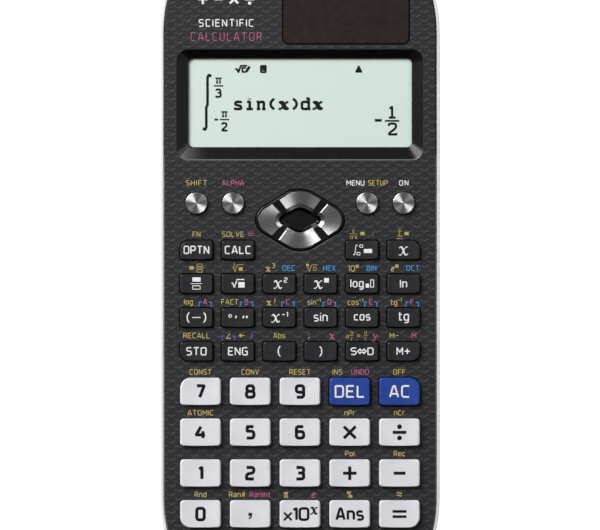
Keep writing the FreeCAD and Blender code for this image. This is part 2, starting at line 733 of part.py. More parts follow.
def battery_cover():
    """Small lid with two tongues, finger grips and a screw hole."""
    lid = prism(cover_outline(0, COVER_RECESS), COVER_THICKNESS)
    lid = lid.makeChamfer(COVER_EDGE, edges_at(lid, COVER_RECESS))
    lid = fuse_all([lid] + cover_tabs(0))
    holes = [
        rod(COVER_SCREW_X, CELL_Y, CASE_SHANK_RADIUS + CLEAR_HOLE_GAP, -PAST, COVER_THICKNESS + PAST),
        rod(COVER_SCREW_X, CELL_Y, CASE_HEAD_RADIUS + COVER_HEAD_GAP, -PAST,
            COVER_RECESS + SCREW_GAP + COVER_HEAD_HEIGHT),
    ]
    for number in range(COVER_GRIPS):
        x = CELL_X + (number - (COVER_GRIPS - 1) / 2) * GRIP_PITCH
        groove = rounded_rectangle(x, CELL_Y, GRIP_WIDTH, GRIP_LENGTH, GRIP_ROUND * GRIP_WIDTH, -PAST)
        holes.append(prism(groove, PAST + COVER_RECESS + GRIP_DEPTH))
    return lid.cut(Part.makeCompound(holes))


# --------------------------------------------------------------------------- inside parts

def display_window():
    return prism(
        rounded_rectangle(0, WINDOW_Y, WINDOW_WIDTH + 2 * PANE_BORDER,
                          WINDOW_LENGTH + 2 * PANE_BORDER, WINDOW_CORNER + PANE_BORDER,
                          PLATE_UNDER_Z - PANE_THICKNESS),
        PANE_THICKNESS,
    )


def lcd_glass():
    """Two bonded sheets of glass; the rear one stands out at the lower edge as a ledge."""
    half_x, half_y = GLASS_WIDTH / 2, GLASS_LENGTH / 2
    middle = GLASS_TOP_Z - GLASS_THICKNESS
    front = block(-half_x, half_x, RECESS_Y - half_y + GLASS_LEDGE, RECESS_Y + half_y,
                  middle, GLASS_TOP_Z)
    rear = block(-half_x, half_x, RECESS_Y - half_y, RECESS_Y + half_y,
                 middle - GLASS_THICKNESS, middle)
    return fuse_all([front, rear])


def solar_panel():
    panel = prism(
        rounded_rectangle(SOLAR_X, SOLAR_Y, SOLAR_WIDTH, SOLAR_LENGTH, SOLAR_CORNER,
                          SOLAR_TOP_Z - SOLAR_THICKNESS),
        SOLAR_THICKNESS,
    )
    return panel.makeChamfer(SOLAR_EDGE, edges_at(panel, SOLAR_TOP_Z))


def dome(x, y, radii, top):
    """Hollow rubber dome and the hollow's tool."""
    base, crown = radii
    height = top - SHEET_TOP_Z
    outer = Part.makeCone(base, crown, height, V(x, y, SHEET_TOP_Z))
    pocket = SHEET_THICKNESS + height - 3 * DOME_WALL
    inner = Part.makeCone(base, crown - DOME_WALL, pocket, V(x, y, BOARD_TOP_Z))
    return outer, inner


def keypad_sheet():
    """Silicone sheet with one dome under each key and four under the cursor pad."""
    mid_y = (SHEET_TOP_Y + SHEET_BOTTOM_Y) / 2
    base = prism(
        rounded_rectangle(0, mid_y, 2 * SHEET_HALF_WIDTH, SHEET_TOP_Y - SHEET_BOTTOM_Y,
                          SHEET_CORNER, BOARD_TOP_Z),
        SHEET_THICKNESS,
    )
    domes = []
    for _, kind, x, y, _ in KEYS:
        domes.append(dome(x, y, NUMBER_DOME if kind == "number" else FUNCTION_DOME,
                          PLUNGER_BOTTOM_Z))
    for x, y in ((PAD_DOME_X, 0), (-PAD_DOME_X, 0), (0, PAD_DOME_Y), (0, -PAD_DOME_Y)):
        domes.append(dome(x, PAD_Y + y, PAD_DOME, PAD_FLANGE_BOTTOM_Z))
    # Low cup that holds the cursor pad's ball in place
    cup = rod(0, PAD_Y, BALL_RADIUS + BALL_CUP_WALL, SHEET_TOP_Z, SHEET_TOP_Z + BALL_CUP_HEIGHT)
    holes = [inner for _, inner in domes]
    holes.append(Part.makeSphere(BALL_RADIUS + BALL_CLEARANCE, V(0, PAD_Y, BALL_Z)))
    for x, y in BOARD_SCREWS:
        holes.append(rod(x, y, BOARD_POST_RADIUS + SHEET_POST_GAP, BOARD_Z, FACE_Z))
    return fuse_all([base, cup] + [outer for outer, _ in domes]).cut(Part.makeCompound(holes))


def circuit_board():
    """Full-length board with clearance for the bosses and the cell, and its main parts."""
    board = prism(case_outline(BOARD_INSET, BOARD_Z), BOARD_THICKNESS)
    holes = [rod(CELL_X, CELL_Y, WELL_RADIUS + WELL_WALL + BOARD_WELL_GAP, 0, FACE_Z)]
    holes.append(rod(COVER_SCREW_X, CELL_Y, CASE_BOSS_RADIUS + BOARD_WELL_GAP, 0, FACE_Z))
    for x, y in CASE_SCREWS:
        holes.append(rod(x, y, REAR_BOSS_RADIUS + BOARD_BOSS_GAP, 0, FACE_Z))
    for x, y in BOARD_SCREWS:
        holes.append(rod(x, y, BOARD_SHANK_RADIUS + CLEAR_HOLE_GAP, 0, FACE_Z))
    holes.append(block(-BODY_WIDTH, BODY_WIDTH, BOARD_TOP_TRIM_Y, BODY_LENGTH, 0, FACE_Z))
    board = board.cut(Part.makeCompound(holes))
    # The drop is the cap of a sphere that is DROP_HALF_WIDTH across and DROP_HEIGHT deep
    radius = (DROP_HALF_WIDTH ** 2 + DROP_HEIGHT ** 2) / (2 * DROP_HEIGHT)
    bottom = BOARD_Z - DROP_HEIGHT
    drop = Part.makeSphere(radius, V(0, DROP_Y, bottom + radius)).common(
        block(-radius, radius, DROP_Y - radius, DROP_Y + radius, bottom - PAST, BOARD_Z + BURIED)
    )
    parts = [board, drop]
    half_x, half_y = CHIP_LENGTH / 2, CHIP_WIDTH / 2
    for x, y in CHIP_PLACES:
        parts.append(block(x - half_x, x + half_x, y - half_y, y + half_y,
                           BOARD_Z - CHIP_HEIGHT, BOARD_Z + BURIED))
    return fuse_all(parts)


def button_cell():
    """Alkaline button cell, its can towards the cover and its cap towards the front."""
    can = rod(CELL_X, CELL_Y, CELL_RADIUS, CELL_Z, CELL_Z + CELL_HEIGHT - CELL_CAP_HEIGHT)
    can = can.makeFillet(CELL_EDGE_RADIUS, can.Edges)
    cap = rod(CELL_X, CELL_Y, CELL_CAP_RADIUS, CELL_Z + CELL_HEIGHT - 2 * CELL_CAP_HEIGHT,
              CELL_Z + CELL_HEIGHT)
    return fuse_all([can, cap])


def battery_contacts():
    """A bent strip against the can's side and a leaf over the cap, each with a foot."""
    t = CONTACT_THICKNESS
    side_x = CELL_X - CELL_RADIUS
    low_y, high_y = CELL_Y - STRIP_HALF_WIDTH, CELL_Y + STRIP_HALF_WIDTH
    strip = block(side_x - t, side_x, low_y, high_y, BOARD_TOP_Z + t, STRIP_TOP_Z)
    foot = block(side_x - STRIP_FOOT, side_x, low_y, high_y, BOARD_TOP_Z, BOARD_TOP_Z + t)
    cap_z = CELL_Z + CELL_HEIGHT
    left, right = CELL_X - LEAF_HALF_WIDTH, CELL_X + LEAF_HALF_WIDTH
    leaf_end = CELL_Y + WELL_RADIUS + WELL_WALL + LEAF_CLEARANCE
    leaf = block(left, right, CELL_Y - LEAF_REACH, leaf_end, cap_z, cap_z + t)
    riser = block(left, right, leaf_end - t, leaf_end, BOARD_TOP_Z, cap_z + t)
    heel = block(left, right, leaf_end, leaf_end + LEAF_HEEL, BOARD_TOP_Z, BOARD_TOP_Z + t)
    return Part.makeCompound([fuse_all([strip, foot]), fuse_all([leaf, riser, heel])])


def screw(x, y, head_z, head_radius, head_height, shank_radius, tip_z):
    """Pan-head screw pointing up, with a cross recess in its head."""
    head = rod(x, y, head_radius, head_z, head_z + head_height)
    head = head.makeFillet(HEAD_ROUND * head_height, edges_at(head, head_z))
    shank = rod(x, y, shank_radius, head_z + head_height, tip_z)
    cross = []
    for long_x, long_y in ((1, 0), (0, 1)):
        half_x = head_radius * CROSS_REACH if long_x else CROSS_WIDTH / 2
        half_y = head_radius * CROSS_REACH if long_y else CROSS_WIDTH / 2
        cross.append(block(x - half_x, x + half_x, y - half_y, y + half_y,
                           head_z - PAST, head_z + head_height * CROSS_DEPTH))
    return fuse_all([head, shank]).cut(Part.makeCompound(cross))


def screws():
    solids = [
        screw(x, y, CASE_HEAD_Z, CASE_HEAD_RADIUS, CASE_HEAD_HEIGHT, CASE_SHANK_RADIUS,
              CASE_SHANK_TOP_Z)
        for x, y in CASE_SCREWS
    ]
    solids += [
        screw(x, y, BOARD_Z - BOARD_HEAD_HEIGHT, BOARD_HEAD_RADIUS, BOARD_HEAD_HEIGHT,
              BOARD_SHANK_RADIUS, BOARD_SHANK_TOP_Z)
        for x, y in BOARD_SCREWS
    ]
    solids.append(screw(COVER_SCREW_X, CELL_Y, COVER_RECESS + SCREW_GAP, CASE_HEAD_RADIUS,
                        COVER_HEAD_HEIGHT, CASE_SHANK_RADIUS, COVER_HOLE_TOP_Z - 2 * TIP_GAP))
    return Part.makeCompound(solids)


def main():
    plates = cursor_plates()
    nodes = {
        "rear_case": rear_case(),
        "front_case": front_case(),
        "battery_cover": battery_cover(),
        "display_window": display_window(),
        "lcd_glass": lcd_glass(),
        "solar_panel": solar_panel(),
        "keypad_sheet": keypad_sheet(),
        "circuit_board": circuit_board(),
        "button_cell": button_cell(),
        "battery_contacts": battery_contacts(),
        "screws": screws(),
        "cursor_rocker": cursor_rocker(plates),
        "cursor_plates": plates,
        "cursor_ball": cursor_ball(),
    }
    for name, kind, x, y, corners in KEYS:
        nodes[name] = key_solid(kind, x, y, corners)
    os.makedirs("parts", exist_ok=True)
    for name, shape in nodes.items():
        solids = shape.Solids
        print(name, "solids", len(solids), "valid", shape.isValid(), "mm3", round(shape.Volume, 1))
        shape.exportStep(os.path.join("parts", name + ".step"))


main()
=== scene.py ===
import json
import math

import bmesh
import bpy
from mathutils import Matrix, Vector
from mathutils.bvhtree import BVHTree


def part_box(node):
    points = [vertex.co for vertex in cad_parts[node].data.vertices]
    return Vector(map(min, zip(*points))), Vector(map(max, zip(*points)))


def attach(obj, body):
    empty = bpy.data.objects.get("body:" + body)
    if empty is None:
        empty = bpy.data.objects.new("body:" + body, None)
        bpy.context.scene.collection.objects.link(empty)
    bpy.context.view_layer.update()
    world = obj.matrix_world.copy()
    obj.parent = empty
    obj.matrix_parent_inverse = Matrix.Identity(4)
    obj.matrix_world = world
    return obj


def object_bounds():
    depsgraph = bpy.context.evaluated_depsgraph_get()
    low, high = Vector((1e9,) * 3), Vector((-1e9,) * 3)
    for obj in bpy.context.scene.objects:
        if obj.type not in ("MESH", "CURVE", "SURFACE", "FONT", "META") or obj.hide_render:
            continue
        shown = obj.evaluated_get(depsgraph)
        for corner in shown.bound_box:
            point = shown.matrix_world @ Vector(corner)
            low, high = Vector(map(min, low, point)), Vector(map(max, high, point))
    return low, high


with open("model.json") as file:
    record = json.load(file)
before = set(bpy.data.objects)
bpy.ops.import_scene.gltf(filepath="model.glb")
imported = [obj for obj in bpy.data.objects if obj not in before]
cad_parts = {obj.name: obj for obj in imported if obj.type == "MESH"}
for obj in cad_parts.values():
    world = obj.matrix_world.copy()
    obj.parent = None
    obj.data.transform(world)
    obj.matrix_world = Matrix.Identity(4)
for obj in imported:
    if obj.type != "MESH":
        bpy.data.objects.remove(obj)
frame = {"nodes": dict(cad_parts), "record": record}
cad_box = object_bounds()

# A pocket scientific calculator. Lengths below are in millimetres and are turned into metres
# by MM where a mesh is made.

MM = 0.001
NODES = frame["nodes"]
RECORD = frame["record"]
BODY_OF_NODE = {node: body for body, held in RECORD["behaviour"]["bodies"].items() for node in held}
SLOT_OF_NODE = {part["node"]: part["material_slot"] for part in RECORD["subparts"]}

# Heights of the face and of the display's glass
FACE_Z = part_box("front_case")[1][2] / MM
GLASS_TOP_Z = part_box("lcd_glass")[1][2] / MM


def middle(node):
    """Middle of a node's box in plan, in millimetres."""
    low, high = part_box(node)
    return (low[0] + high[0]) / 2 / MM, (low[1] + high[1]) / 2 / MM


# ------------------------------------------------------------------------------ lettering
# Strokes on a grid six units high. A point with an r after it is a round corner, z closes
# the stroke, and a stroke may start with *n for a pen n times as wide.

SANS = {
    "0": (3.9, "0,0r 3.9,0r 3.9,6r 0,6r z"),
    "1": (1.5, "0,5.2 1.5,6 1.5,0"),
    "2": (3.8, "0,6 3.8,6r 3.8,3.3r 0,2.5r 0,0 3.8,0"),
    "3": (3.8, "0,6 3.8,6r 3.8,3.1r 1,3.1; 2,3.1 3.8,3.1r 3.8,0r 0,0"),
    "4": (4.6, "2.6,6 0,1.7 4.6,1.7; 3.6,3.6 3.6,0"),
    "5": (3.7, "3.6,6 0.3,6 0.3,3.6 3.7,3.6r 3.7,0r 0,0"),
    "6": (3.8, "3.6,6 0,6r 0,0r 3.8,0r 3.8,3.4r 0,3.4"),
    "7": (3.8, "0,6 3.8,6 1.5,0"),
    "8": (4.0, "0,0r 4,0r 4,3.1r 0,3.1r z; 0.25,3.1r 3.75,3.1r 3.75,6r 0.25,6r z"),
    "9": (3.8, "0.2,0 3.8,0r 3.8,6r 0,6r 0,2.6r 3.8,2.6"),
    "A": (4.2, "0,0 1.7,6 2.5,6 4.2,0; 0.6,1.7 3.6,1.7"),
    "B": (3.6, "0,0 0,6 3.3,6r 3.3,3.2r 0,3.2; 0,3.2 3.6,3.2r 3.6,0r 0,0 0,1"),
    "C": (3.6, "3.6,6 0,6r 0,0r 3.6,0"),
    "D": (3.8, "0,1 0,6 3.8,6r 3.8,0r 0,0 0,1"),
    "E": (3.4, "3.4,6 0,6 0,0 3.4,0; 0,3.1 3,3.1"),
    "F": (3.3, "3.3,6 0,6 0,0; 0,3 2.9,3"),
    "G": (3.7, "3.7,6 0,6r 0,0r 3.7,0 3.7,3 2,3"),
    "H": (3.7, "0,0 0,6; 3.7,0 3.7,6; 0,3 3.7,3"),
    "I": (0.0, "0,0 0,6"),
    "L": (3.2, "0,6 0,0 3.2,0"),
    "M": (4.8, "0,0 0,6 2.4,2.2 4.8,6 4.8,0"),
    "N": (3.8, "0,0 0,6 3.8,0 3.8,6"),
    "O": (3.9, "0,0r 3.9,0r 3.9,6r 0,6r z"),
    "P": (3.7, "0,0 0,6 3.7,6r 3.7,2.6r 0,2.6"),
    "R": (3.7, "0,0 0,6 3.6,6r 3.6,2.8r 0,2.8; 2,2.8 3.7,0"),
    "S": (3.6, "3.6,6 0,6r 0,3.1r 3.6,3.1r 3.6,0r 0,0"),
    "T": (4.0, "0,6 4,6; 2,6 2,0"),
    "U": (3.7, "0,6 0,0r 3.7,0r 3.7,6"),
    "V": (4.0, "0,6 2,0 4,6"),
    "X": (3.8, "0,0 3.8,6; 0,6 3.8,0"),
    "a": (3.1, "0.3,4.4 3.1,4.4r 3.1,0; 3.1,2.5 0,2.5r 0,0r 3.1,0"),
    "b": (3.2, "0,6 0,0 3.2,0r 3.2,4.4r 0,4.4"),
    "c": (2.9, "2.9,4.4 0,4.4r 0,0r 2.9,0"),
    "d": (3.2, "3.2,6 3.2,0 0,0r 0,4.4r 3.2,4.4"),
    "e": (3.2, "3.1,0 0,0r 0,4.4r 3.2,4.4r 3.2,2.2 0,2.2"),
    "g": (3.2, "0.2,-1.9 3.2,-1.9r 3.2,4.4 0,4.4r 0,0r 3.2,0"),
    "i": (0.0, "0,0 0,4.4; 0,5.5 0,6.3"),
    "l": (0.0, "0,0 0,6.1"),
    "n": (3.2, "0,0 0,4.4 3.2,4.4r 3.2,0"),
    "o": (3.2, "0,0r 3.2,0r 3.2,4.4r 0,4.4r z"),
    "r": (2.0, "0,0 0,4.4 2,4.4"),
    "s": (3.0, "2.9,4.4 0,4.4r 0,2.2r 3,2.2r 3,0r 0,0"),
    "t": (2.4, "0.8,6 0.8,0r 2.4,0; 0,4.4 2.4,4.4"),
    "+": (4.6, "0,3 4.6,3; 2.3,0.7 2.3,5.3"),
    "-": (4.0, "0,3 4,3"),
    "×": (4.0, "0,1 4,5; 0,5 4,1"),
    "÷": (4.6, "0,3 4.6,3; *1.3 2.1,4.9r 2.3,5.1r 2.5,4.9r 2.3,4.7r z; "
          "*1.3 2.1,1.1r 2.3,1.3r 2.5,1.1r 2.3,0.9r z"),
    "=": (4.0, "0,4.3 4,4.3; 0,1.7 4,1.7"),
    "(": (1.5, "1.5,7 0,5r 0,1r 1.5,-1"),
    ")": (1.5, "0,7 1.5,5r 1.5,1r 0,-1"),
    ",": (1.0, "*1.6 0.6,1.1 0.6,0.5r 0.1,-0.9"),
    "'": (1.0, "*1.4 0.6,5.8 0.6,5.3r 0.2,4.2"),
    ":": (0.6, "*1.2 0.3,4 0.3,4.6; *1.2 0.3,1 0.3,1.6"),
    ";": (0.6, "*1.2 0.3,4 0.3,4.6; *1.2 0.4,1.6 0.3,0.9r 0,0"),
    "!": (0.8, "0.8,6.2 0.5,1.9; 0.4,0.7 0.35,0"),
    "°": (2.4, "0,3.2r 2.4,3.2r 2.4,5.6r 0,5.6r z"),
    "%": (4.4, "3.6,6 0.8,0; 0,3.9r 1.6,3.9r 1.6,5.8r 0,5.8r z; "
          "2.8,0.2r 4.4,0.2r 4.4,2.1r 2.8,2.1r z"),
    "#": (4.0, "1.4,6 0.8,0; 3.2,6 2.6,0; 0.2,4 4,4; 0,2 3.8,2"),
    "≈": (4.6, "0,4 0.8,5r 2,4.6r 3.4,3.6r 4.6,4.6; 0,1.6 0.8,2.6r 2,2.2r 3.4,1.2r 4.6,2.2"),
    "√": (3.0, "0,2.6 0.7,2.9 1.7,0 3,6"),
    "∠": (4.0, "3.4,5 0,0.4 4,0.4"),
    "←": (5.6, "0.2,3 5.6,3; *2 0.9,3 1.4,3; *1.2 1.9,4.3 0.3,3 1.9,1.7 z"),
    "⇔": (6.4, "1.6,4 4.8,4; 1.6,2 4.8,2; 2.1,5.4 0,3 2.1,0.6; 4.3,5.4 6.4,3 4.3,0.6"),
    "Σ": (3.6, "3.6,5.2 3.4,6 0,6 1.9,3.1 0,0 3.5,0 3.7,0.9"),
    "∫": (3.0, "3.2,6.4 2.6,7.2r 1.9,6.6r 1.1,-0.6r 0.4,-1.2r -0.2,-0.4"),
    "π": (3.8, "0,4.1 0.6,4.5 4,4.5; 1.3,4.4 1,0; 2.8,4.4 2.8,0.8r 3.6,0"),
    "▪": (2.6, "*3.2 0,3.2 2.6,3.2"),
    "□": (3.0, "0,1.8 3,1.8 3,4.6 0,4.6 z"),
}

ITALIC = {
    "x": (4.4, "*1.6 1.3,4.2 1.8,3.5 2.9,0.8 3.3,0.1; "
          "0.3,3.4 0.9,4.3r 1.7,4 3,0.4r 3.7,-0.1r 4.5,0.8; "
          "*0.8 4.4,3.9 3.9,4.3r 3.1,3.5 1.6,0.8 0.8,-0.1r 0.1,0.4; "
          "*1.3 4.2,4 4.3,4; *1.3 0.1,0.3 0.3,0.2"),
    "y": (4.2, "0.4,4.3 1.3,4.3 2.1,0.4; 4.4,4.3 2.1,0.2 1.1,-1.7r 0,-1.7"),
    "e": (3.2, "0.4,2 2.9,2.7r 3.2,4.3r 1.8,4.4r 0.3,2.6r 0.3,0.2r 2,0r 3,1"),
    "i": (1.6, "*1.3 0.5,4.3 1.4,4.3 0.4,0; *1.3 1.7,5.6 1.9,6.4"),
}

SLAB = {
    "s": (3.2, "2.9,3.5 2.9,4.3 0.5,4.3r 0.3,2.6r 3,1.8r 3.1,0r 0.3,0 0.2,0.9"),
    "i": (2.6, "0.2,4.3 1.5,4.3 1.5,0; 0,0 2.9,0; 1.4,5.7 1.4,6.3"),
    "n": (3.8, "0,4.3 0.9,4.3 0.9,0; 0.9,3.5 1.8,4.3r 3.3,4.3r 3.3,0; 0.1,0 1.7,0; 2.5,0 4.1,0"),
    "(": (1.6, "1.8,6.2 0.2,4.4r 0.2,1.6r 1.8,-0.2"),
    ")": (1.6, "0,6.2 1.6,4.4r 1.6,1.6r 0,-0.2"),
    "d": (3.8, "2,6.3 3.1,6.3 3.1,0 3.9,0; 3.1,3.7 2.3,4.3r 0,4.3r 0,0r 2.3,0r 3.1,0.7"),
    "x": ITALIC["x"],
    "π": (4.0, "0.2,4.4 3.9,4.4; *0.9 1.2,4.4 1.2,0; 2.9,4.4 2.9,0; 0.6,0 1.8,0; 2.3,0 3.5,0"),
    "1": (2.8, "0.3,4.9 1.5,6 1.5,0; 0,0 3,0"),
    "2": (3.8, "0.2,4.7 0.3,6r 3.6,6r 3.6,3.6r 0.2,0.6 0.2,0 3.8,0 3.8,0.8"),
    "3": (3.8, "0.2,5 0.4,6r 3.5,6r 3.5,3.2r 1.3,3.2; 1.5,3.2 3.7,3.2r 3.7,0r 0.2,0r 0,1"),
    "-": (3.4, "0,3 3.4,3"),
}

ROUND_CORNER = 1.35
CRISP_CORNER = 0.3
CORNER_STEPS = 4
LETTER_GAP = 1.9
WORD_GAP = 3.0


def softened(points, closed):
    """Points of a stroke with each corner replaced by a short curve."""
    count = len(points)
    path = []
    for number, (corner, reach) in enumerate(points):
        if not closed and number in (0, count - 1):
            path.append(corner)
            continue
        before = points[number - 1][0] - corner
        after = points[(number + 1) % count][0] - corner
        reach = min(reach, before.length * 0.48, after.length * 0.48)
        start = corner + before.normalized() * reach
        end = corner + after.normalized() * reach
        for step in range(CORNER_STEPS + 1):
            t = step / CORNER_STEPS
            path.append(start * (1 - t) ** 2 + corner * 2 * t * (1 - t) + end * t ** 2)
    return path


def glyph_strokes(text):
    """Strokes of one glyph as (points, closed, pen width factor)."""
    strokes = []
    for stroke in text.split(";"):
        pen, points, closed = 1.0, [], False
        for word in stroke.split():
            if word == "z":
                closed = True
            elif word.startswith("*"):
                pen = float(word[1:])
            else:
                reach = ROUND_CORNER if word.endswith("r") else CRISP_CORNER
                x, y = word.rstrip("r").split(",")
                points.append((Vector((float(x), float(y))), reach))
        strokes.append((softened(points, closed), closed, pen))
    return strokes


def lettering(text, x, y, size, pen, face=SANS, gap=LETTER_GAP, stretch=1.0):
    """Strokes of a line of text centred on (x, y), size high with a pen that wide."""
    scale = (size - pen) / 6
    cursor, strokes = 0.0, []
    for letter in text:
        if letter == " ":
            cursor += WORD_GAP
            continue
        width, drawing = face[letter]
        for path, closed, factor in glyph_strokes(drawing):
            moved = [Vector((point.x + cursor, point.y)) for point in path]
            strokes.append((moved, closed, factor * pen))
        cursor += width + gap
    half = (cursor - gap) / 2

    def placed(point):
        return Vector((x + (point.x - half) * scale * stretch, y + (point.y - 3) * scale))

    return [([placed(p) for p in path], closed, width) for path, closed, width in strokes]


# How much of a drawn pen's width the ink covers
PEN_SHARE = 0.8


def box_stroke(x, y, width, height, pen):
    """Hollow rectangle of those outer sizes."""
    across, up = (width - pen) / 2, (height - pen) / 2
    turns = ((-1, -1), (1, -1), (1, 1), (-1, 1))
    corners = [Vector((x + side * across, y + end * up)) for side, end in turns]
    return [(softened([(corner, pen * 0.2) for corner in corners], True), True, pen)]


def bar_stroke(x0, y0, x1, y1, pen):
    return [([Vector((x0, y0)), Vector((x1, y1))], False, pen)]


def filled_box(x, y, width, height):
    return bar_stroke(x - width / 2, y, x + width / 2, y, height / PEN_SHARE)


# Thickness of a printed stroke, and how far its foot stands off what it is printed on
INK_HEIGHT = 0.03
INK_LIFT, READOUT_LIFT = 0.012, 0.005
# A stroke's points above this height, in metres, are its upper side
UPPER_SIDE = 1e-7


def printed(name, strokes, ground, lift=INK_LIFT):
    """Flat printed strokes as a mesh, laid on ground, which gives a height for a place."""
    curve = bpy.data.curves.new(name, "CURVE")
    curve.dimensions = "3D"
    curve.bevel_depth = 1.0
    curve.bevel_resolution = 0
    curve.use_fill_caps = True
    for points, closed, pen in strokes:
        spline = curve.splines.new("POLY")
        spline.points.add(len(points) - 1)
        for place, point in zip(spline.points, points):
            place.co = (point.x * MM, point.y * MM, 0, 1)
            place.radius = pen * PEN_SHARE / 2 * MM
        spline.use_cyclic_u = closed
    drawing = bpy.data.objects.new(name + "_drawing", curve)
    bpy.context.collection.objects.link(drawing)
    mesh = evaluated_mesh(drawing)
    bpy.data.objects.remove(drawing)
    bm = bmesh.new()
    bm.from_mesh(mesh)
    for vert in bm.verts:
        raised = INK_HEIGHT if vert.co.z > UPPER_SIDE else 0
        height = ground(vert.co.x, vert.co.y)
        vert.co.z = min(height + (lift + raised) * MM, cad_box[1][2])
    bmesh.ops.recalc_face_normals(bm, faces=bm.faces)
    bm.to_mesh(mesh)
    bm.free()
    mesh.name = name
    mesh.shade_flat()
    piece = bpy.data.objects.new(name, mesh)
    bpy.context.collection.objects.link(piece)
    return piece


def evaluated_mesh(piece):
    """New mesh of a curve, or of a piece with its modifiers applied."""
    graph = bpy.context.evaluated_depsgraph_get()
    return bpy.data.meshes.new_from_object(piece.evaluated_get(graph))


def flat_ground(z):
    """The same height everywhere, given in millimetres and handed back in metres."""
    return lambda x, y: z * MM


def node_ground(node):
    """Height of a node's top surface at a place, in metres."""
    tree = BVHTree.FromObject(NODES[node], bpy.context.evaluated_depsgraph_get())
    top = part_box(node)[1][2]

    def height(x, y):
        hit = tree.ray_cast(Vector((x, y, top + MM)), Vector((0, 0, -1)))[0]
        return hit.z if hit else top

    return height


# ------------------------------------------------------------------------------ materials

# Noise seldom leaves this part of its range
NOISE_LOW, NOISE_HIGH = 0.3, 0.7
FINE_DETAIL = 3.0


class Finish:
    """A node material with its shader, object coordinates and a few ways to vary them."""

    def __init__(self, name, colour, roughness, **sockets):
        self.material = bpy.data.materials.new(name)
        self.material.use_nodes = True
        self.nodes = self.material.node_tree.nodes
        self.links = self.material.node_tree.links
        self.shader = self.nodes["Principled BSDF"]
        self.shader.inputs["Base Color"].default_value = (*colour, 1)
        self.shader.inputs["Roughness"].default_value = roughness
        for socket, value in sockets.items():
            self.shader.inputs[socket.replace("_", " ")].default_value = value
        self.place = self.nodes.new("ShaderNodeTexCoord").outputs["Object"]

    def noise(self, size, detail=2.0):
        """Noise whose grains are size millimetres across, as a grey value."""
        noise = self.nodes.new("ShaderNodeTexNoise")
        noise.inputs["Scale"].default_value = 1 / (size * MM)
        noise.inputs["Detail"].default_value = detail
        self.links.new(self.place, noise.inputs["Vector"])
        return noise.outputs["Fac"]

    def span(self, value, low, high):
        """The middle part of a noise's range, spread between low and high."""
        spread = self.nodes.new("ShaderNodeMapRange")
        limits = {"From Min": NOISE_LOW, "From Max": NOISE_HIGH, "To Min": low, "To Max": high}
        for name, limit in limits.items():
            spread.inputs[name].default_value = limit
        self.links.new(value, spread.inputs["Value"])
        return spread.outputs["Result"]

    def axis(self, name):
        """One coordinate of the place on the piece, in metres."""
        split = self.nodes.new("ShaderNodeSeparateXYZ")
        self.links.new(self.place, split.inputs["Vector"])
        return split.outputs[name]

    def calc(self, operation, first, second):
        """Arithmetic on two values, each a number or a node's output."""
        node = self.nodes.new("ShaderNodeMath")
        node.operation = operation
        for number, value in enumerate((first, second)):
            if isinstance(value, (int, float)):
                node.inputs[number].default_value = value
            else:
                self.links.new(value, node.inputs[number])
        return node.outputs["Value"]

    def blend_colours(self, factor, first, second):
        """First colour where factor is 0 and second where it is 1."""
        mix = self.nodes.new("ShaderNodeMix")
        mix.data_type = "RGBA"
        self.links.new(factor, mix.inputs["Factor"])
        for name, colour in (("A", first), ("B", second)):
            socket = next(s for s in mix.inputs if s.name == name and s.type == "RGBA")
            if isinstance(colour, tuple):
                socket.default_value = (*colour, 1)
            else:
                self.links.new(colour, socket)
        return next(s for s in mix.outputs if s.type == "RGBA")

    def mottled(self, size, first, second):
        """Colour that drifts between two close shades."""
        factor = self.span(self.noise(size), 0, 1)
        self.paint(self.blend_colours(factor, first, second))
        return self

    def paint(self, colour):
        self.links.new(colour, self.shader.inputs["Base Color"])

    def uneven(self, size, low, high):
        """Roughness that drifts between low and high."""
        drift = self.span(self.noise(size, FINE_DETAIL), low, high)
        self.links.new(drift, self.shader.inputs["Roughness"])
        return self

    def grained(self, size, depth, strength):
        """Bumps depth millimetres deep with grains size millimetres across."""
        bump = self.nodes.new("ShaderNodeBump")
        bump.inputs["Distance"].default_value = depth * MM
        bump.inputs["Strength"].default_value = strength
        self.links.new(self.noise(size, FINE_DETAIL), bump.inputs["Height"])
        self.links.new(bump.outputs["Normal"], self.shader.inputs["Normal"])
        return self


def tint(*screen):
    """Linear colour of a screen's red, green and blue from 0 to 255."""
    return tuple(((c / 255 + 0.055) / 1.055) ** 2.4 if c > 10 else c / 3294.6 for c in screen)


# Edges of the face below EDGE_LINE_Y carry a painted highlight, a lighter line between these depths
EDGE_LINE_Y = 30.0
EDGE_LINE_TOP, EDGE_LINE_FOOT = 0.01, 0.14
# Depths between which the recess's walls are polished, and by how much they differ
SLOPE_TOP, SLOPE_FOOT = 0.02, 2.0
FACE_SPECULAR = 0.5
SLOPE_ROUGHNESS_CHANGE, SLOPE_SPECULAR_CHANGE = -0.26, -0.2
# The recess's left wall lies between two mitre lines, each with its slope and its height at x = 0;
# it is painted paler as painted light
RECESS_LEFT_X = -30.8
UPPER_MITRE, UPPER_MITRE_Y = 0.75, 33.9
LOWER_MITRE, LOWER_MITRE_Y = -1.16, 68.1
# A painted highlight on the lower wall fades from the lower left corner to black over this length
FADE_END_X, FADE_LENGTH = -24.0, 9.5
FADE_POWER = 2.5
LOWER_WALL_Y = 32.4


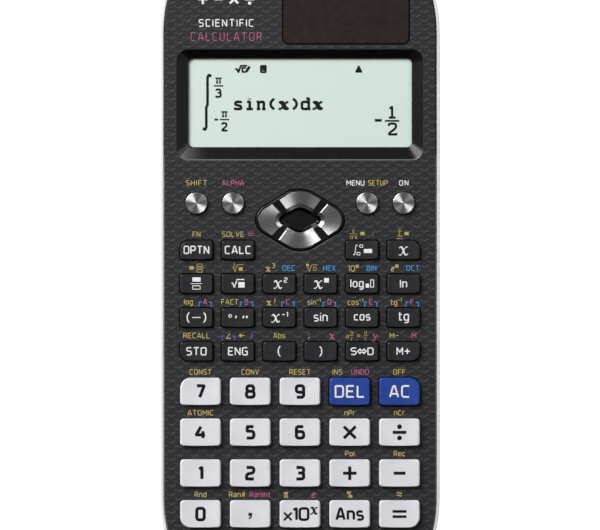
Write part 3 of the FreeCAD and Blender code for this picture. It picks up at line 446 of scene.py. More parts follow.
def recess_walls(finish):
    """Black walls with painted light on the left one and a painted highlight in the lower left
    corner.
    """
    x, y = finish.axis("X"), finish.axis("Y")
    under = finish.calc("ADD", y, finish.calc("MULTIPLY", x, UPPER_MITRE))
    over = finish.calc("ADD", y, finish.calc("MULTIPLY", x, LOWER_MITRE))
    # Painted light: the left wall, between the mitre lines, is painted paler than the other walls
    left = finish.calc(
        "MULTIPLY", finish.calc("LESS_THAN", under, UPPER_MITRE_Y * MM),
        finish.calc("GREATER_THAN", over, LOWER_MITRE_Y * MM),
    )
    left = finish.calc("MULTIPLY", left, finish.calc("LESS_THAN", x, RECESS_LEFT_X * MM))
    # Painted highlight: lightest at the lower left corner, fading to black along the lower wall
    painted_highlight = finish.calc("ADD", x, -FADE_END_X * MM)
    painted_highlight = finish.calc("MULTIPLY", painted_highlight, -1 / (FADE_LENGTH * MM))
    painted_highlight = finish.calc("POWER", finish.calc("MAXIMUM", painted_highlight, 0.0), FADE_POWER)
    painted_highlight = finish.calc("MULTIPLY", painted_highlight, finish.calc("LESS_THAN", y, LOWER_WALL_Y * MM))
    walls = finish.blend_colours(painted_highlight, tint(12, 12, 14), tint(112, 111, 112))
    return finish.blend_colours(left, walls, tint(34, 34, 37))


def casing_black():
    """Matt plastic with a painted highlight along its lower edges, and polished walls in the
    display's recess with painted light on them.
    """
    finish = Finish("black_casing", tint(46, 46, 50), 0.5)
    height = finish.axis("Z")
    below = finish.calc("LESS_THAN", height, (FACE_Z - SLOPE_TOP) * MM)
    near = finish.calc("GREATER_THAN", height, (FACE_Z - SLOPE_FOOT) * MM)
    slope = finish.calc("MULTIPLY", below, near)
    # Plain face, painted darker than the chevrons as painted shade between them
    drift = finish.span(finish.noise(0.5, FINE_DETAIL), 0, 1)
    plain = finish.blend_colours(drift, tint(23, 23, 25), tint(31, 31, 34))
    walls = finish.blend_colours(slope, plain, recess_walls(finish))
    # Painted highlight: a lighter line along the face's edges in its lower part
    under = finish.calc("LESS_THAN", height, (FACE_Z - EDGE_LINE_TOP) * MM)
    over = finish.calc("GREATER_THAN", height, (FACE_Z - EDGE_LINE_FOOT) * MM)
    lower = finish.calc("LESS_THAN", finish.axis("Y"), EDGE_LINE_Y * MM)
    painted_edge_highlight = finish.calc("MULTIPLY", finish.calc("MULTIPLY", under, over), lower)
    finish.paint(finish.blend_colours(painted_edge_highlight, walls, tint(95, 95, 98)))
    rough = finish.span(finish.noise(0.3, FINE_DETAIL), 0.42, 0.56)
    smooth = finish.calc("MULTIPLY", slope, SLOPE_ROUGHNESS_CHANGE)
    finish.links.new(finish.calc("ADD", rough, smooth), finish.shader.inputs["Roughness"])
    dull = finish.calc("MULTIPLY", slope, SLOPE_SPECULAR_CHANGE)
    dull = finish.calc("ADD", dull, FACE_SPECULAR)
    finish.links.new(dull, finish.shader.inputs["Specular IOR Level"])
    return finish.grained(0.25, 0.012, 0.5).material


def chevron_black():
    """Matt black of the pressed pattern, painted a little lighter than the plain face as painted
    light on the raised chevrons.
    """
    finish = Finish("chevron_black", tint(60, 60, 63), 0.42)
    finish.mottled(1.2, tint(35, 35, 38), tint(45, 45, 48)).uneven(0.6, 0.5, 0.62)
    return finish.grained(0.2, 0.008, 0.5).material


def moulded(name, dark, light, roughness):
    """Injection-moulded plastic with a fine spark-eroded grain."""
    finish = Finish(name, light, roughness)
    finish.mottled(6.0, dark, light).uneven(1.5, roughness - 0.05, roughness + 0.05)
    return finish.grained(0.22, 0.006, 0.6).material


def polished_black():
    """Gloss of the cursor pad's rocker."""
    finish = Finish("cursor_black", tint(14, 14, 15), 0.16)
    finish.mottled(4.0, tint(12, 12, 13), tint(18, 18, 19)).uneven(2.0, 0.12, 0.22)
    return finish.grained(0.4, 0.002, 0.4).material


# Turning marks, and how far below the face the sides are painted nearly black as painted shade in
# the gaps round the keys
RING_WIDTH = 0.12
PAINTED_SHADE_DEPTH = 0.1


def spun_metal(name, x, y):
    """Bright plating over turning marks centred on (x, y), so a lamp shows as two wedges."""
    finish = Finish(name, (0.6, 0.6, 0.61), 0.4, Metallic=1.0, Anisotropic=0.95)
    centred = finish.nodes.new("ShaderNodeMapping")
    centred.inputs["Location"].default_value = (-x * MM, -y * MM, 0)
    finish.links.new(finish.place, centred.inputs["Vector"])
    outward = finish.nodes.new("ShaderNodeVectorMath")
    outward.operation = "MULTIPLY"
    outward.inputs[1].default_value = (1, 1, 0)
    finish.links.new(centred.outputs["Vector"], outward.inputs[0])
    finish.links.new(outward.outputs["Vector"], finish.shader.inputs["Tangent"])
    reach = finish.nodes.new("ShaderNodeVectorMath")
    reach.operation = "LENGTH"
    finish.links.new(outward.outputs["Vector"], reach.inputs[0])
    rings = finish.nodes.new("ShaderNodeTexNoise")
    rings.noise_dimensions = "1D"
    rings.inputs["Scale"].default_value = 1 / (RING_WIDTH * MM)
    rings.inputs["Detail"].default_value = FINE_DETAIL
    finish.links.new(reach.outputs["Value"], rings.inputs["W"])
    rough = finish.span(rings.outputs["Fac"], 0.36, 0.42)
    finish.links.new(rough, finish.shader.inputs["Roughness"])
    shade = finish.span(rings.outputs["Fac"], 0, 1)
    bright = finish.blend_colours(shade, (0.52, 0.52, 0.53), (0.62, 0.62, 0.63))
    # Painted shade: the sides below this height are painted nearly black, for dark gaps round the
    # keys
    above = finish.calc("GREATER_THAN", finish.axis("Z"), (FACE_Z - PAINTED_SHADE_DEPTH) * MM)
    finish.paint(finish.blend_colours(above, (0.01, 0.01, 0.01), bright))
    return finish.material


def plated(name, colour, roughness):
    """Plain plated metal."""
    finish = Finish(name, colour, roughness, Metallic=1.0)
    darker = tuple(0.85 * c for c in colour)
    finish.mottled(2.0, darker, colour).uneven(0.8, roughness - 0.06, roughness + 0.08)
    return finish.grained(0.3, 0.004, 0.5).material


def clear_pane():
    """Thin clear sheet: mostly see-through, with a faint polished reflection."""
    finish = Finish("clear_window", (0.05, 0.05, 0.05), 0.03, Alpha=0.04)
    finish.mottled(20.0, (0.04, 0.05, 0.045), (0.06, 0.06, 0.06)).uneven(8.0, 0.02, 0.05)
    return finish.material


def display_green():
    """Pale green reflector behind the display's segments."""
    finish = Finish("display_glass", tint(223, 240, 230), 0.55)
    finish.mottled(0.35, tint(223, 240, 229), tint(227, 243, 233)).uneven(1.0, 0.5, 0.6)
    return finish.material


SOLAR_BAND = 4.25


def solar_bands():
    """Dark brown cell with slightly different bands side by side, under clear glass."""
    finish = Finish("solar_cell", tint(48, 34, 33), 0.3, Coat_Weight=0.6, Coat_Roughness=0.06)
    along = finish.calc("MODULO", finish.calc("ADD", finish.axis("X"), 1.0), 2 * SOLAR_BAND * MM)
    band = finish.calc("GREATER_THAN", along, SOLAR_BAND * MM)
    drift = finish.span(finish.noise(1.5, 2.0), 0, 1)
    first = finish.blend_colours(drift, tint(33, 17, 16), tint(37, 21, 20))
    second = finish.blend_colours(drift, tint(32, 20, 18), tint(37, 24, 22))
    finish.paint(finish.blend_colours(band, first, second))
    return finish.uneven(2.0, 0.26, 0.36).material


def solder_mask():
    """Green lacquer of the circuit board."""
    finish = Finish("circuit_laminate", tint(20, 110, 60), 0.35)
    finish.mottled(0.8, tint(16, 98, 52), tint(34, 128, 74)).uneven(0.5, 0.3, 0.45)
    return finish.grained(0.35, 0.01, 0.6).material


def rubber_grey():
    """Soft grey silicone of the keypad sheet."""
    finish = Finish("silicone", tint(190, 192, 195), 0.6, Subsurface_Weight=0.1)
    finish.shader.inputs["Subsurface Radius"].default_value = (MM, MM, MM)
    finish.mottled(3.0, tint(182, 184, 188), tint(196, 198, 200)).uneven(1.0, 0.52, 0.68)
    return finish.grained(0.3, 0.006, 0.5).material


INK_ROUGHNESS = 0.5


def ink(name, *screen):
    """Printed ink, a little uneven in tone."""
    colour = tint(*screen)
    finish = Finish(name, colour, INK_ROUGHNESS)
    finish.mottled(0.4, tuple(0.9 * c for c in colour), tuple(min(1.0, 1.06 * c) for c in colour))
    finish.shader.inputs["Specular IOR Level"].default_value = 0.25
    return finish.uneven(0.5, INK_ROUGHNESS - 0.08, INK_ROUGHNESS + 0.08).material


MATERIALS = {
    "white_casing": moulded("white_casing", tint(222, 222, 222), tint(232, 232, 232), 0.45),
    "black_casing": casing_black(),
    "white_keys": moulded("white_keys", tint(219, 218, 223), tint(228, 227, 232), 0.36),
    "blue_keys": moulded("blue_keys", tint(31, 61, 144), tint(37, 70, 155), 0.36),
    "charcoal_keys": moulded("charcoal_keys", tint(27, 27, 30), tint(34, 34, 37), 0.42),
    "cursor_black": polished_black(),
    "clear_window": clear_pane(),
    "display_glass": display_green(),
    "solar_cell": solar_bands(),
    "silicone": rubber_grey(),
    "circuit_laminate": solder_mask(),
    "bright_steel": plated("bright_steel", (0.72, 0.72, 0.7), 0.22),
    "screw_steel": plated("screw_steel", (0.5, 0.5, 0.52), 0.32),
    "white_acetal": moulded("white_acetal", tint(222, 221, 216), tint(230, 229, 224), 0.3),
}
INKS = {
    "gold": ink("gold_ink", 184, 164, 98),
    "pink": ink("pink_ink", 178, 92, 130),
    "blue": ink("blue_ink", 62, 144, 208),
    "purple": ink("purple_ink", 104, 84, 192),
    "white": ink("white_ink", 236, 236, 238),
    "cream": ink("cream_ink", 238, 235, 226),
    "black": ink("black_ink", 10, 10, 12),
    "display": ink("display_ink", 4, 6, 5),
}


def coat(piece, material):
    piece.data.materials.clear()
    piece.data.materials.append(material)


def finish_cad_nodes():
    """Each CAD node gets its slot's material; plated ones get marks round their own middle."""
    for node, piece in NODES.items():
        slot = SLOT_OF_NODE[node]
        if slot == "bright_metallised":
            coat(piece, spun_metal(node + "_plating", *middle(node)))
        else:
            coat(piece, MATERIALS[slot])


# ------------------------------------------------------------------------------ key legends
# Each legend is drawn round its key's middle: words and signs in letters, and special shapes
# by a function of their own.

NUMBER_SIZE, NUMBER_PEN = 4.25, 1.1
WORD_SIZE, WORD_PEN = 2.4, 0.42
SIGN_SIZE, SIGN_PEN = 5.9, 1.05
CLEAR_SIZE, CLEAR_PEN = 3.6, 0.6


def word(text, x=0.0, y=0.0, size=WORD_SIZE, pen=WORD_PEN, **how):
    return lettering(text, x, y, size, pen, **how)


def italic(text, x, y, size, pen=WORD_PEN):
    return lettering(text, x, y, size, pen, face=ITALIC)


def fraction_legend():
    return (
        filled_box(0, 1.15, 2.3, 1.15) + bar_stroke(-1.6, 0, 1.6, 0, 0.22)
        + box_stroke(0, -1.05, 2.3, 1.2, 0.26)
    )


def root_legend():
    hook = ((-1.75, 0.1), (-1.4, 0.2), (-0.95, -1.05), (-0.2, 1.15), (1.75, 1.15))
    hook = softened([(Vector(p), 0.05) for p in hook], False)
    return [(hook, False, 0.36)] + filled_box(1.0, -0.3, 1.75, 1.5)


def integral_legend():
    return (
        lettering("∫", -1.85, 0, 2.3, 0.28) + box_stroke(-0.25, 1.05, 1.05, 0.9, 0.24)
        + box_stroke(-1.0, -1.05, 1.05, 0.95, 0.24) + filled_box(1.6, -0.3, 2.25, 1.1)
    )


def log_base_legend():
    return (
        word("log", -1.4, 0.1) + filled_box(1.45, -0.55, 0.95, 1.1)
        + box_stroke(2.75, 0.05, 1.1, 2.3, 0.28)
    )


def degrees_legend():
    return (
        lettering("°", -2.1, 0.0, 2.1, 0.28) + lettering("'", -0.5, -0.7, 2.9, 0.34)
        + lettering("'", 1.55, -0.7, 2.9, 0.34) + lettering("'", 2.5, -0.7, 2.9, 0.34)
    )


def comma_legend():
    dot = bar_stroke(-0.5, -0.1, 0.5, -0.1, 1.1)
    tail = softened([(Vector(p), 0.3) for p in ((0.28, -0.1), (0.28, -0.75), (-0.35, -1.3))], False)
    return dot + [(tail, False, 0.55)]


def exponent_legend():
    return (
        lettering("×", -3.35, -0.65, 3.9, 0.7)
        + lettering("10", 0.2, 0, 4.0, 0.9, gap=1.5, stretch=1.15)
        + italic("x", 3.8, 1.3, 3.2, 0.5)
    )


def number(text):
    return lettering(text, 0, 0, NUMBER_SIZE, NUMBER_PEN)


LEGENDS = {
    "key_options": word("OPTN", stretch=0.97),
    "key_calc": word("CALC", stretch=1.03),
    "key_integral": integral_legend(),
    "key_variable": italic("x", -0.1, 0.2, 3.7, 0.34),
    "key_fraction": fraction_legend(),
    "key_root": root_legend(),
    "key_square": italic("x", -0.45, 0.2, 3.45, 0.36) + lettering("2", 1.75, 1.0, 1.5, 0.3),
    "key_power": italic("x", -0.75, 0.2, 3.45, 0.36) + filled_box(1.6, 0.95, 1.3, 1.25),
    "key_log_base": log_base_legend(),
    "key_ln": word("ln", 0, 0),
    "key_negative": word("(", -2.25, 0, 2.5) + bar_stroke(-1.15, 0, 1.15, 0, 0.3)
    + word(")", 2.25, 0, 2.5),
    "key_degrees": degrees_legend(),
    "key_reciprocal": italic("x", -1.05, 0.2, 3.45, 0.36) + bar_stroke(0.75, 0.8, 1.55, 0.8, 0.3)
    + lettering("1", 2.15, 0.85, 1.5, 0.3),
    "key_sin": word("sin", 0, 0.1, 2.55),
    "key_cos": word("cos", 0, 0.3, 2.4),
    "key_tan": word("tg", 0, 0.35, 2.55),
    "key_store": word("STO", stretch=1.05),
    "key_eng": word("ENG", stretch=1.05),
    "key_bracket_open": word("(", 0, 0, 2.5),
    "key_bracket_close": word(")", 0, 0, 2.5),
    "key_convert": word("S⇔D", 0, 0, 2.2, gap=1.2, stretch=1.25),
    "key_memory": word("M+", 0, 0, 2.3),
    "key_delete": lettering("DEL", 0, 0, CLEAR_SIZE, CLEAR_PEN, stretch=1.1),
    "key_all_clear": lettering("AC", 0, 0, CLEAR_SIZE, CLEAR_PEN, stretch=1.08),
    "key_multiply": lettering("×", 0, 0, SIGN_SIZE, SIGN_PEN),
    "key_divide": lettering("÷", 0, 0, SIGN_SIZE, SIGN_PEN),
    "key_plus": lettering("+", 0, 0, SIGN_SIZE, SIGN_PEN),
    "key_minus": lettering("-", 0, 0, SIGN_SIZE, SIGN_PEN),
    "key_comma": comma_legend(),
    "key_exponent": exponent_legend(),
    "key_answer": lettering("Ans", 0, 0, 3.9, 0.86),
    "key_equals": lettering("=", 0, 0, 4.2, 0.9, stretch=1.75),
}
LEGENDS.update({"key_" + digit: number(digit) for digit in "0123456789"})

LEGEND_INK = {"white_keys": "black", "blue_keys": "cream", "charcoal_keys": "white"}


def shifted(strokes, x, y):
    return [([Vector((p.x + x, p.y + y)) for p in path], closed, pen)
            for path, closed, pen in strokes]


def add_legends():
    """Printed legends, each riding on its own key."""
    for node, strokes in LEGENDS.items():
        x, y = middle(node)
        colour = LEGEND_INK[SLOT_OF_NODE[node]]
        piece = printed(node + "_legend", shifted(strokes, x, y), node_ground(node))
        coat(piece, INKS[colour])
        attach(piece, BODY_OF_NODE[node])


# ------------------------------------------------------------------------------ face labels

LABEL_SIZE, LABEL_PEN = 1.6, 0.27
ROUND_LABEL_RISE = 5.6
FUNCTION_LABEL_RISE = 4.3
NUMBER_LABEL_RISE = 5.35
MARK_HALF_WIDTH, MARK_REACH, MARK_LENGTH = 1.7, 0.7, 1.15
MARK_DROP, MARK_PEN = 0.15, 0.32


def label(text, size=LABEL_SIZE, **how):
    """Maker of a small label, in the plain letters unless another face is given."""
    return lambda x, y: lettering(text, x, y, size, LABEL_PEN, **how)


def raised_label(base, power, face=SANS):
    """Label with a small raised figure."""
    def draw(x, y):
        left = lettering(base, x - 0.55, y - 0.1, LABEL_SIZE, LABEL_PEN, face=face)
        right = max(p.x for path, _, _ in left for p in path)
        return left + lettering(power, right + 0.7, y + 0.5, 1.1, 0.22)
    return draw


def power_box(base, face=SANS):
    def draw(x, y):
        left = lettering(base, x - 0.5, y - 0.1, LABEL_SIZE, LABEL_PEN, face=face)
        right = max(p.x for path, _, _ in left for p in path)
        return left + filled_box(right + 0.65, y + 0.45, 0.75, 0.75)
    return draw


def mixed_number(x, y):
    return (
        filled_box(x - 1.25, y + 0.05, 1.1, 0.85) + box_stroke(x + 0.8, y + 0.72, 1.5, 0.85, 0.2)
        + bar_stroke(x - 0.4, y, x + 2.0, y, 0.2) + box_stroke(x + 0.8, y - 0.72, 1.5, 0.85, 0.2)
    )


def root_sign(x, y):
    points = [(-1.2, 0.05), (-0.95, 0.15), (-0.6, -0.75), (-0.1, 0.7), (1.2, 0.7)]
    path = softened([(Vector((x + px, y + py)), 0.04) for px, py in points], False)
    return [(path, False, 0.17)]


def cube_root(x, y):
    return (
        root_sign(x, y) + filled_box(x + 0.6, y - 0.2, 0.8, 0.75)
        + lettering("3", x - 0.85, y + 0.75, 0.85, 0.13)
    )


def any_root(x, y):
    return (
        root_sign(x + 0.2, y) + box_stroke(x + 0.8, y - 0.2, 0.8, 0.75, 0.15)
        + filled_box(x - 0.85, y + 0.65, 0.6, 0.6)
    )


def derivative(x, y):
    return (
        lettering("d", x - 0.6, y + 0.75, 0.85, 0.12)
        + bar_stroke(x - 1.4, y + 0.1, x + 0.2, y + 0.1, 0.12)
        + lettering("d", x - 1.0, y - 0.6, 0.9, 0.12)
        + lettering("x", x - 0.1, y - 0.6, 0.9, 0.12, face=ITALIC)
        + filled_box(x + 1.3, y + 0.15, 0.9, 0.7)
    )


def series_sum(x, y):
    return (
        lettering("Σ", x - 0.55, y + 0.15, 1.35, 0.17)
        + bar_stroke(x - 1.2, y - 0.95, x + 0.1, y - 0.95, 0.16)
        + bar_stroke(x - 0.9, y + 1.15, x - 0.2, y + 1.15, 0.14)
        + filled_box(x + 0.9, y + 0.15, 0.9, 0.7)
    )


def fraction_swap(x, y):
    pieces = lettering("a", x - 2.3, y - 0.05, 1.2, 0.15)
    pieces += lettering("⇔", x + 0.25, y, 0.85, 0.13)
    for centre, upper, lower in ((-1.25, "b", "c"), (1.9, "d", "c")):
        pieces += lettering(upper, x + centre, y + 0.75, 0.95, 0.13)
        pieces += bar_stroke(x + centre - 0.5, y, x + centre + 0.5, y, 0.12)
        pieces += lettering(lower, x + centre, y - 0.65, 0.95, 0.13)
    return pieces


def factorial(x, y):
    return (
        lettering("x", x - 0.4, y - 0.1, LABEL_SIZE, LABEL_PEN, face=ITALIC)
        + lettering("!", x + 0.95, y + 0.05, 1.5, LABEL_PEN)
    )


def corner_marks(x, y):
    """A pair of small brackets round a label, a little below its line."""
    top = y - MARK_DROP
    marks = []
    for side in (-1, 1):
        edge = x + side * MARK_HALF_WIDTH
        points = [(edge - side * MARK_REACH, top), (edge, top), (edge, top - MARK_LENGTH)]
        marks.append((softened([(Vector(p), 0.05) for p in points], False), False, MARK_PEN))
    return marks


def grown(draw, growth):
    """The same drawing, growth times as large round its own place."""
    def larger(x, y):
        place = Vector((x, y))
        return [([place + (p - place) * growth for p in path], closed, pen * growth)
                for path, closed, pen in draw(x, y)]
    return larger


# key, x from the key's middle, ink, drawing
FACE_LABELS = [
    ("key_shift", 0.0, "gold", label("SHIFT", gap=2.7)),
    ("key_alpha", 0.0, "pink", label("ALPHA")),
    ("key_menu", -3.2, "white", label("MENU")),
    ("key_menu", 3.0, "gold", label("SETUP", stretch=0.9)),
    ("key_on", 0.1, "white", label("ON", gap=2.9)),
    ("key_options", 0.0, "gold", label("FN")),
    ("key_calc", -1.35, "gold", label("SOLVE", stretch=1.04)),
    ("key_calc", 3.5, "pink", label("=", stretch=1.75)),
    ("key_integral", -1.6, "gold", grown(derivative, 1.3)),
    ("key_integral", 3.0, "pink", grown(label(":"), 1.3)),
    ("key_variable", -0.3, "gold", grown(series_sum, 1.3)),
    ("key_fraction", 0.0, "gold", grown(mixed_number, 1.08)),
    ("key_root", 0.0, "gold", grown(cube_root, 1.3)),
    ("key_square", -2.4, "gold", grown(raised_label("x", "3", ITALIC), 1.25)),
    ("key_square", 2.6, "blue", label("DEC")),
    ("key_power", -2.6, "gold", grown(any_root, 1.25)),
    ("key_power", 2.4, "blue", label("HEX")),
    ("key_log_base", -2.4, "gold", grown(power_box("10"), 1.1)),
    ("key_log_base", 2.6, "blue", label("BIN")),
    ("key_ln", -2.4, "gold", grown(power_box("e", ITALIC), 1.2)),
    ("key_ln", 2.6, "blue", label("OCT")),
    ("key_negative", -2.2, "gold", label("log")),
    ("key_degrees", -2.2, "gold", label("FACT", stretch=0.98)),
    ("key_reciprocal", -2.4, "gold", grown(factorial, 1.2)),
    ("key_sin", -1.9, "gold", raised_label("sin", "-1")),
    ("key_cos", -1.9, "gold", raised_label("cos", "-1")),
    ("key_tan", -2.1, "gold", raised_label("tg", "-1")),
    ("key_store", 0.0, "gold", label("RECALL", stretch=1.05)),
    ("key_eng", -2.6, "gold", grown(label("∠"), 1.3)),
    ("key_eng", 1.1, "gold", grown(label("←"), 1.3)),
    ("key_eng", 3.75, "purple", label("i", face=ITALIC, size=2.2)),
    ("key_bracket_open", 0.0, "gold", label("Abs")),
    ("key_bracket_close", -3.2, "gold", grown(label(";"), 1.2)),
    ("key_bracket_close", 3.1, "pink", label("x", face=ITALIC, size=2.4)),
    ("key_convert", -1.3, "gold", grown(fraction_swap, 1.2)),
    ("key_convert", 3.55, "pink", label("y", face=ITALIC, size=2.2)),
    ("key_memory", -2.5, "gold", label("M-")),
    ("key_memory", 2.9, "pink", label("M")),
    ("key_7", 0.0, "gold", label("CONST")),
    ("key_8", 0.0, "gold", label("CONV")),
    ("key_9", 0.0, "gold", label("RESET")),
    ("key_delete", -3.35, "gold", label("INS")),
    ("key_delete", 2.85, "pink", label("UNDO")),
    ("key_all_clear", 0.0, "gold", label("OFF")),
    ("key_4", 0.0, "gold", label("ATOMIC", stretch=1.05)),
    ("key_multiply", 0.0, "gold", label("nPr")),
    ("key_divide", 0.0, "gold", label("nCr")),
    ("key_plus", 0.0, "gold", label("Pol")),
    ("key_minus", 0.0, "gold", label("Rec")),
    ("key_0", 0.0, "gold", label("Rnd")),
    ("key_comma", -3.6, "gold", label("Ran#")),
    ("key_comma", 2.7, "pink", label("RanInt")),
    ("key_exponent", -3.85, "gold", grown(label("π"), 1.45)),
    ("key_exponent", 3.7, "pink", label("e", face=ITALIC, size=2.1)),
    ("key_answer", 0.0, "gold", grown(label("%"), 1.3)),
    ("key_equals", 0.0, "gold", grown(label("≈"), 1.35)),
]
HEX_KEYS = {
    "key_negative": "A", "key_degrees": "B", "key_reciprocal": "C",
    "key_sin": "D", "key_cos": "E", "key_tan": "F",
}
for key, letter in HEX_KEYS.items():
    FACE_LABELS.append((key, 2.4, "pink", label(letter)))
    FACE_LABELS.append((key, 2.4, "blue", corner_marks))
FACE_LABELS.append(("key_eng", -2.6, "purple", corner_marks))

# Maker's panel beside the solar cell: four signs, and the kind of instrument in two lines
PANEL_X = -20.3
PANEL_SIGNS_Y, PANEL_TOP_Y, PANEL_LOWER_Y = 73.2, 66.65, 62.9
PANEL_SIGN_PITCH, PANEL_SIGN_SIZE, PANEL_SIGN_PEN = 4.3, 4.2, 0.75


def panel_signs(x, y):
    strokes = []
    for number, sign in enumerate("+-×÷"):
        place = x + (number - 1.5) * PANEL_SIGN_PITCH
        strokes += lettering(sign, place, y, PANEL_SIGN_SIZE, PANEL_SIGN_PEN)
    return strokes


def label_rise(node):
    slot = SLOT_OF_NODE[node]
    if slot == "bright_metallised":
        return ROUND_LABEL_RISE
    return FUNCTION_LABEL_RISE if slot == "charcoal_keys" else NUMBER_LABEL_RISE


PATTERN_HEIGHT = 0.045


def add_face_labels():
    """Labels over the keys and the panel's wording, one piece for each ink."""
    strokes = {colour: [] for colour in INKS}
    for node, shift, colour, draw in FACE_LABELS:
        x, y = middle(node)
        strokes[colour] += draw(x + shift, y + label_rise(node))
    strokes["white"] += panel_signs(PANEL_X, PANEL_SIGNS_Y)
    strokes["white"] += lettering("SCIENTIFIC", PANEL_X, PANEL_TOP_Y, 2.2, 0.36, gap=2.6)
    strokes["pink"] += lettering(
        "CALCULATOR", PANEL_X, PANEL_LOWER_Y, 2.4, 0.26, gap=2.7, stretch=0.88)
    for colour, drawn in strokes.items():
        if drawn:
            piece = printed("face_print_" + colour, drawn, flat_ground(FACE_Z + PATTERN_HEIGHT))
            coat(piece, INKS[colour])
            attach(piece, "case")


# ------------------------------------------------------------------------------ face pattern

CHEVRON_REACH = 1.2
CHEVRON_RISE = 0.5
CHEVRON_THICK = 0.8
CHEVRON_PITCH_X = 4.36
CHEVRON_PITCH_Y = 2.42
CHEVRON_SLOPE = 0.33
CHEVRON_ROOT = 0.05
ZONE_DEPTH = 1.0


def chevron_outline():
    """Plan of one open V with thick arms."""
    thick = CHEVRON_THICK / 2
    right = [(0, -thick), (CHEVRON_REACH, CHEVRON_RISE - thick),
             (CHEVRON_REACH, CHEVRON_RISE + thick), (0, thick)]
    left = [(-x, y) for x, y in reversed(right[1:3])]
    return [Vector((x * MM, y * MM, 0)) for x, y in right + left]


def chevron_pair():
    """Two closed ridges, half a pitch apart both ways, at the pattern's lower left."""
    bm = bmesh.new()
    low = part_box("front_case")[0]
    start = Vector((low[0], low[1], (FACE_Z - CHEVRON_ROOT) * MM))
    step = Vector((CHEVRON_PITCH_X / 2 * MM, CHEVRON_PITCH_Y / 2 * MM, 0))
    for number in range(2):
        origin = start + step * number
        base = bm.faces.new([bm.verts.new(origin + corner) for corner in chevron_outline()])
        risen = bmesh.ops.extrude_face_region(bm, geom=[base])["geom"]
        top = next(item for item in risen if isinstance(item, bmesh.types.BMFace))
        bmesh.ops.translate(bm, verts=top.verts, vec=(0, 0, CHEVRON_ROOT * MM))
        bmesh.ops.inset_region(bm, faces=[top], thickness=CHEVRON_SLOPE * MM, depth=0)
        bmesh.ops.translate(bm, verts=top.verts, vec=(0, 0, PATTERN_HEIGHT * MM))
    bmesh.ops.recalc_face_normals(bm, faces=bm.faces)
    mesh = bpy.data.meshes.new("face_pattern")
    bm.to_mesh(mesh)
    bm.free()
    return mesh


# How near two points are one, and how near the face's height a level point is, in metres
WELD, LEVEL_SPREAD = 1e-6, 2e-6
# Least upward part of the normal of a level face
FACING_UP = 0.99


def face_zone():
    """Closed solid over the flat part of the face, with every opening left out."""
    bm = bmesh.new()
    bm.from_mesh(NODES["front_case"].data)
    bmesh.ops.remove_doubles(bm, verts=bm.verts, dist=WELD)
    level = FACE_Z * MM
    away = [face for face in bm.faces if face.normal.z < FACING_UP
            or any(abs(vert.co.z - level) > LEVEL_SPREAD for vert in face.verts)]
    bmesh.ops.delete(bm, geom=away, context="FACES")
    bmesh.ops.translate(bm, verts=bm.verts, vec=(0, 0, -ZONE_DEPTH / 2 * MM))
    risen = bmesh.ops.extrude_face_region(bm, geom=list(bm.faces))["geom"]
    top = [item for item in risen if isinstance(item, bmesh.types.BMVert)]
    bmesh.ops.translate(bm, verts=top, vec=(0, 0, ZONE_DEPTH * MM))
    bmesh.ops.recalc_face_normals(bm, faces=bm.faces)
    mesh = bpy.data.meshes.new("face_zone")
    bm.to_mesh(mesh)
    bm.free()
    zone = bpy.data.objects.new("face_zone", mesh)
    bpy.context.collection.objects.link(zone)
    return zone


def add_face_pattern():
    """Staggered chevrons pressed into the face, trimmed to the flat round its openings."""
    low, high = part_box("front_case")
    pattern = bpy.data.objects.new("face_pattern", chevron_pair())
    bpy.context.collection.objects.link(pattern)
    zone = face_zone()
    for axis, pitch in ((0, CHEVRON_PITCH_X), (1, CHEVRON_PITCH_Y)):
        rows = pattern.modifiers.new("rows", "ARRAY")
        rows.use_relative_offset = False
        rows.use_constant_offset = True
        rows.constant_offset_displace = [pitch * MM if way == axis else 0 for way in range(3)]
        rows.count = math.ceil((high[axis] - low[axis]) / (pitch * MM)) + 1
    trim = pattern.modifiers.new("trim", "BOOLEAN")
    trim.operation = "INTERSECT"
    trim.solver = "MANIFOLD"
    trim.object = zone
    made = evaluated_mesh(pattern)
    pattern.modifiers.clear()
    pattern.data = made
    made.name = "face_pattern"
    bpy.data.objects.remove(zone)
    coat(pattern, chevron_black())
    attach(pattern, "case")


# ------------------------------------------------------------------------------ display

DISPLAY_X, DISPLAY_Y = middle("display_window")
READOUT_PEN = 0.95
READOUT_SIZE = 3.7
READOUT_START, READOUT_PITCH = -17.1, 3.13
SIGN_MARK_PEN = 0.66
RUNG_STEP = 0.45


def readout(text, x, y, size, pen=READOUT_PEN, stretch=1.0):
    return lettering(text, DISPLAY_X + x, DISPLAY_Y + y, size, pen, face=SLAB, stretch=stretch)


def readout_bar(x, y, width, pen):
    x, y = DISPLAY_X + x, DISPLAY_Y + y
    return bar_stroke(x - width / 2, y, x + width / 2, y, pen)


def readout_path(points, pen, reach=0.05):
    moved = [(Vector((DISPLAY_X + x, DISPLAY_Y + y)), reach) for x, y in points]
    return [(softened(moved, False), False, pen)]


def limit_of_integral(lower, x, y):
    """Pi over a figure, beside the integral sign."""
    upper = readout("π", x, y + 1.72, 2.3, 0.55, 1.6) + readout_bar(x, y, 2.6, 0.5)
    return upper + readout(lower, x, y - 2.0, 2.75, 0.7)


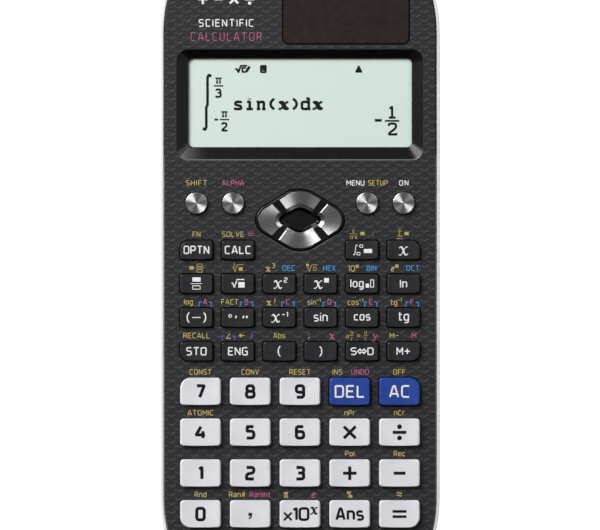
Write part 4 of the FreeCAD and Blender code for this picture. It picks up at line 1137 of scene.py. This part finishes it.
def add_readout():
    """Dark segments just above the display's glass: a definite integral and its value."""
    strokes = readout_path(
        [(-24.5, 7.2), (-25.1, 7.8), (-25.5, 7.0), (-25.5, -0.7),
         (-25.85, -1.2), (-25.85, -6.8), (-26.2, -7.5), (-26.8, -7.0)], 0.92, 0.3)
    strokes += limit_of_integral("3", -22.5, 4.65) + limit_of_integral("2", -20.85, -4.65)
    strokes += readout_bar(-23.1, -4.65, 1.0, 0.7)
    for number, letter in enumerate("sin(x)dx"):
        place = READOUT_START + number * READOUT_PITCH
        strokes += readout(letter, place, -0.35, READOUT_SIZE, stretch=1.32)
    strokes += readout_bar(21.6, -4.85, 1.9, 0.95) + readout_bar(25.4, -5.0, 4.0, 0.62)
    strokes += readout("1", 25.35, -2.6, 3.8, 0.8, 1.25) + readout("2", 25.5, -7.25, 3.8, 0.8, 1.15)
    strokes += readout_path(
        [(-17.9, 9.2), (-17.4, 9.3), (-17.0, 8.4), (-16.3, 10.2), (-14.6, 10.2)], SIGN_MARK_PEN)
    strokes += readout_path([(-14.9, 9.6), (-15.9, 9.6), (-15.9, 8.5), (-14.9, 8.5)], SIGN_MARK_PEN)
    strokes += readout_path([(-14.9, 8.5), (-13.9, 10.0)], 0.95)
    mark_x, mark_y = DISPLAY_X - 10.1, DISPLAY_Y + 9.3
    strokes += box_stroke(mark_x, mark_y, 2.0, 2.4, 0.7)
    strokes += lettering("R", mark_x, mark_y, 1.45, 0.55)
    for rung in range(4):
        strokes += readout_bar(16.2, 8.6 + RUNG_STEP * rung, 1.9 - RUNG_STEP * rung, 0.75)
    piece = printed("display_readout", strokes, flat_ground(GLASS_TOP_Z), READOUT_LIFT)
    coat(piece, INKS["display"])
    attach(piece, "case")


# ------------------------------------------------------------------------------ setting

def add_floor():
    """White floor that gives off light, so nothing casts a shadow on it."""
    bm = bmesh.new()
    bmesh.ops.create_grid(bm, x_segments=4, y_segments=4, size=3.0)
    mesh = bpy.data.meshes.new("floor")
    bm.to_mesh(mesh)
    bm.free()
    floor = bpy.data.objects.new("floor", mesh)
    bpy.context.collection.objects.link(floor)
    finish = Finish("floor_white", (0.3, 0.3, 0.3), 0.8, Emission_Strength=1.0)
    coat(floor, finish.mottled(80, (0.29,) * 3, (0.31,) * 3).material)


# Width that the picture takes in at the face's height
FIELD_WIDTH = 165.24
LENS, SENSOR = 300.0, 36.0


def add_camera():
    """Long lens straight over the face, so that nothing leans."""
    camera = bpy.data.cameras.new("camera")
    camera.lens = LENS
    camera.sensor_width = SENSOR
    holder = bpy.data.objects.new("camera", camera)
    bpy.context.collection.objects.link(holder)
    holder.location = (0, 0, (FACE_Z + FIELD_WIDTH * LENS / SENSOR) * MM)
    bpy.context.scene.camera = holder


def add_lamp(name, place, size, power):
    """Round lamp that points at the middle of the case."""
    lamp = bpy.data.lights.new(name, "AREA")
    lamp.shape = "DISK"
    lamp.size = size
    lamp.energy = power
    holder = bpy.data.objects.new(name, lamp)
    bpy.context.collection.objects.link(holder)
    holder.location = place
    holder.rotation_euler = Vector(place).to_track_quat("Z", "Y").to_euler()


def add_studio_walls():
    """Soft grey room that is lighter towards the display's end, as under a sloping softbox."""
    world = bpy.data.worlds.new("studio")
    world.use_nodes = True
    nodes, links = world.node_tree.nodes, world.node_tree.links
    split = nodes.new("ShaderNodeSeparateXYZ")
    links.new(nodes.new("ShaderNodeTexCoord").outputs["Generated"], split.inputs["Vector"])
    fall = nodes.new("ShaderNodeMapRange")
    for name, value in (("From Min", -0.9), ("From Max", 0.9), ("To Min", 0.02), ("To Max", 0.26)):
        fall.inputs[name].default_value = value
    links.new(split.outputs["Y"], fall.inputs["Value"])
    links.new(fall.outputs["Result"], nodes["Background"].inputs["Strength"])
    nodes["Background"].inputs["Color"].default_value = (0.97, 0.98, 1.0, 1)
    bpy.context.scene.world = world


def add_light():
    add_lamp("upper_left_lamp", (-0.85, 0.8, 0.95), 1.1, 30)
    add_lamp("upper_right_lamp", (0.85, 0.8, 0.95), 0.9, 4)
    add_studio_walls()
    bpy.context.scene.view_settings.view_transform = "Standard"


finish_cad_nodes()
add_legends()
add_face_labels()
add_face_pattern()
add_readout()
add_floor()
add_camera()
add_light()
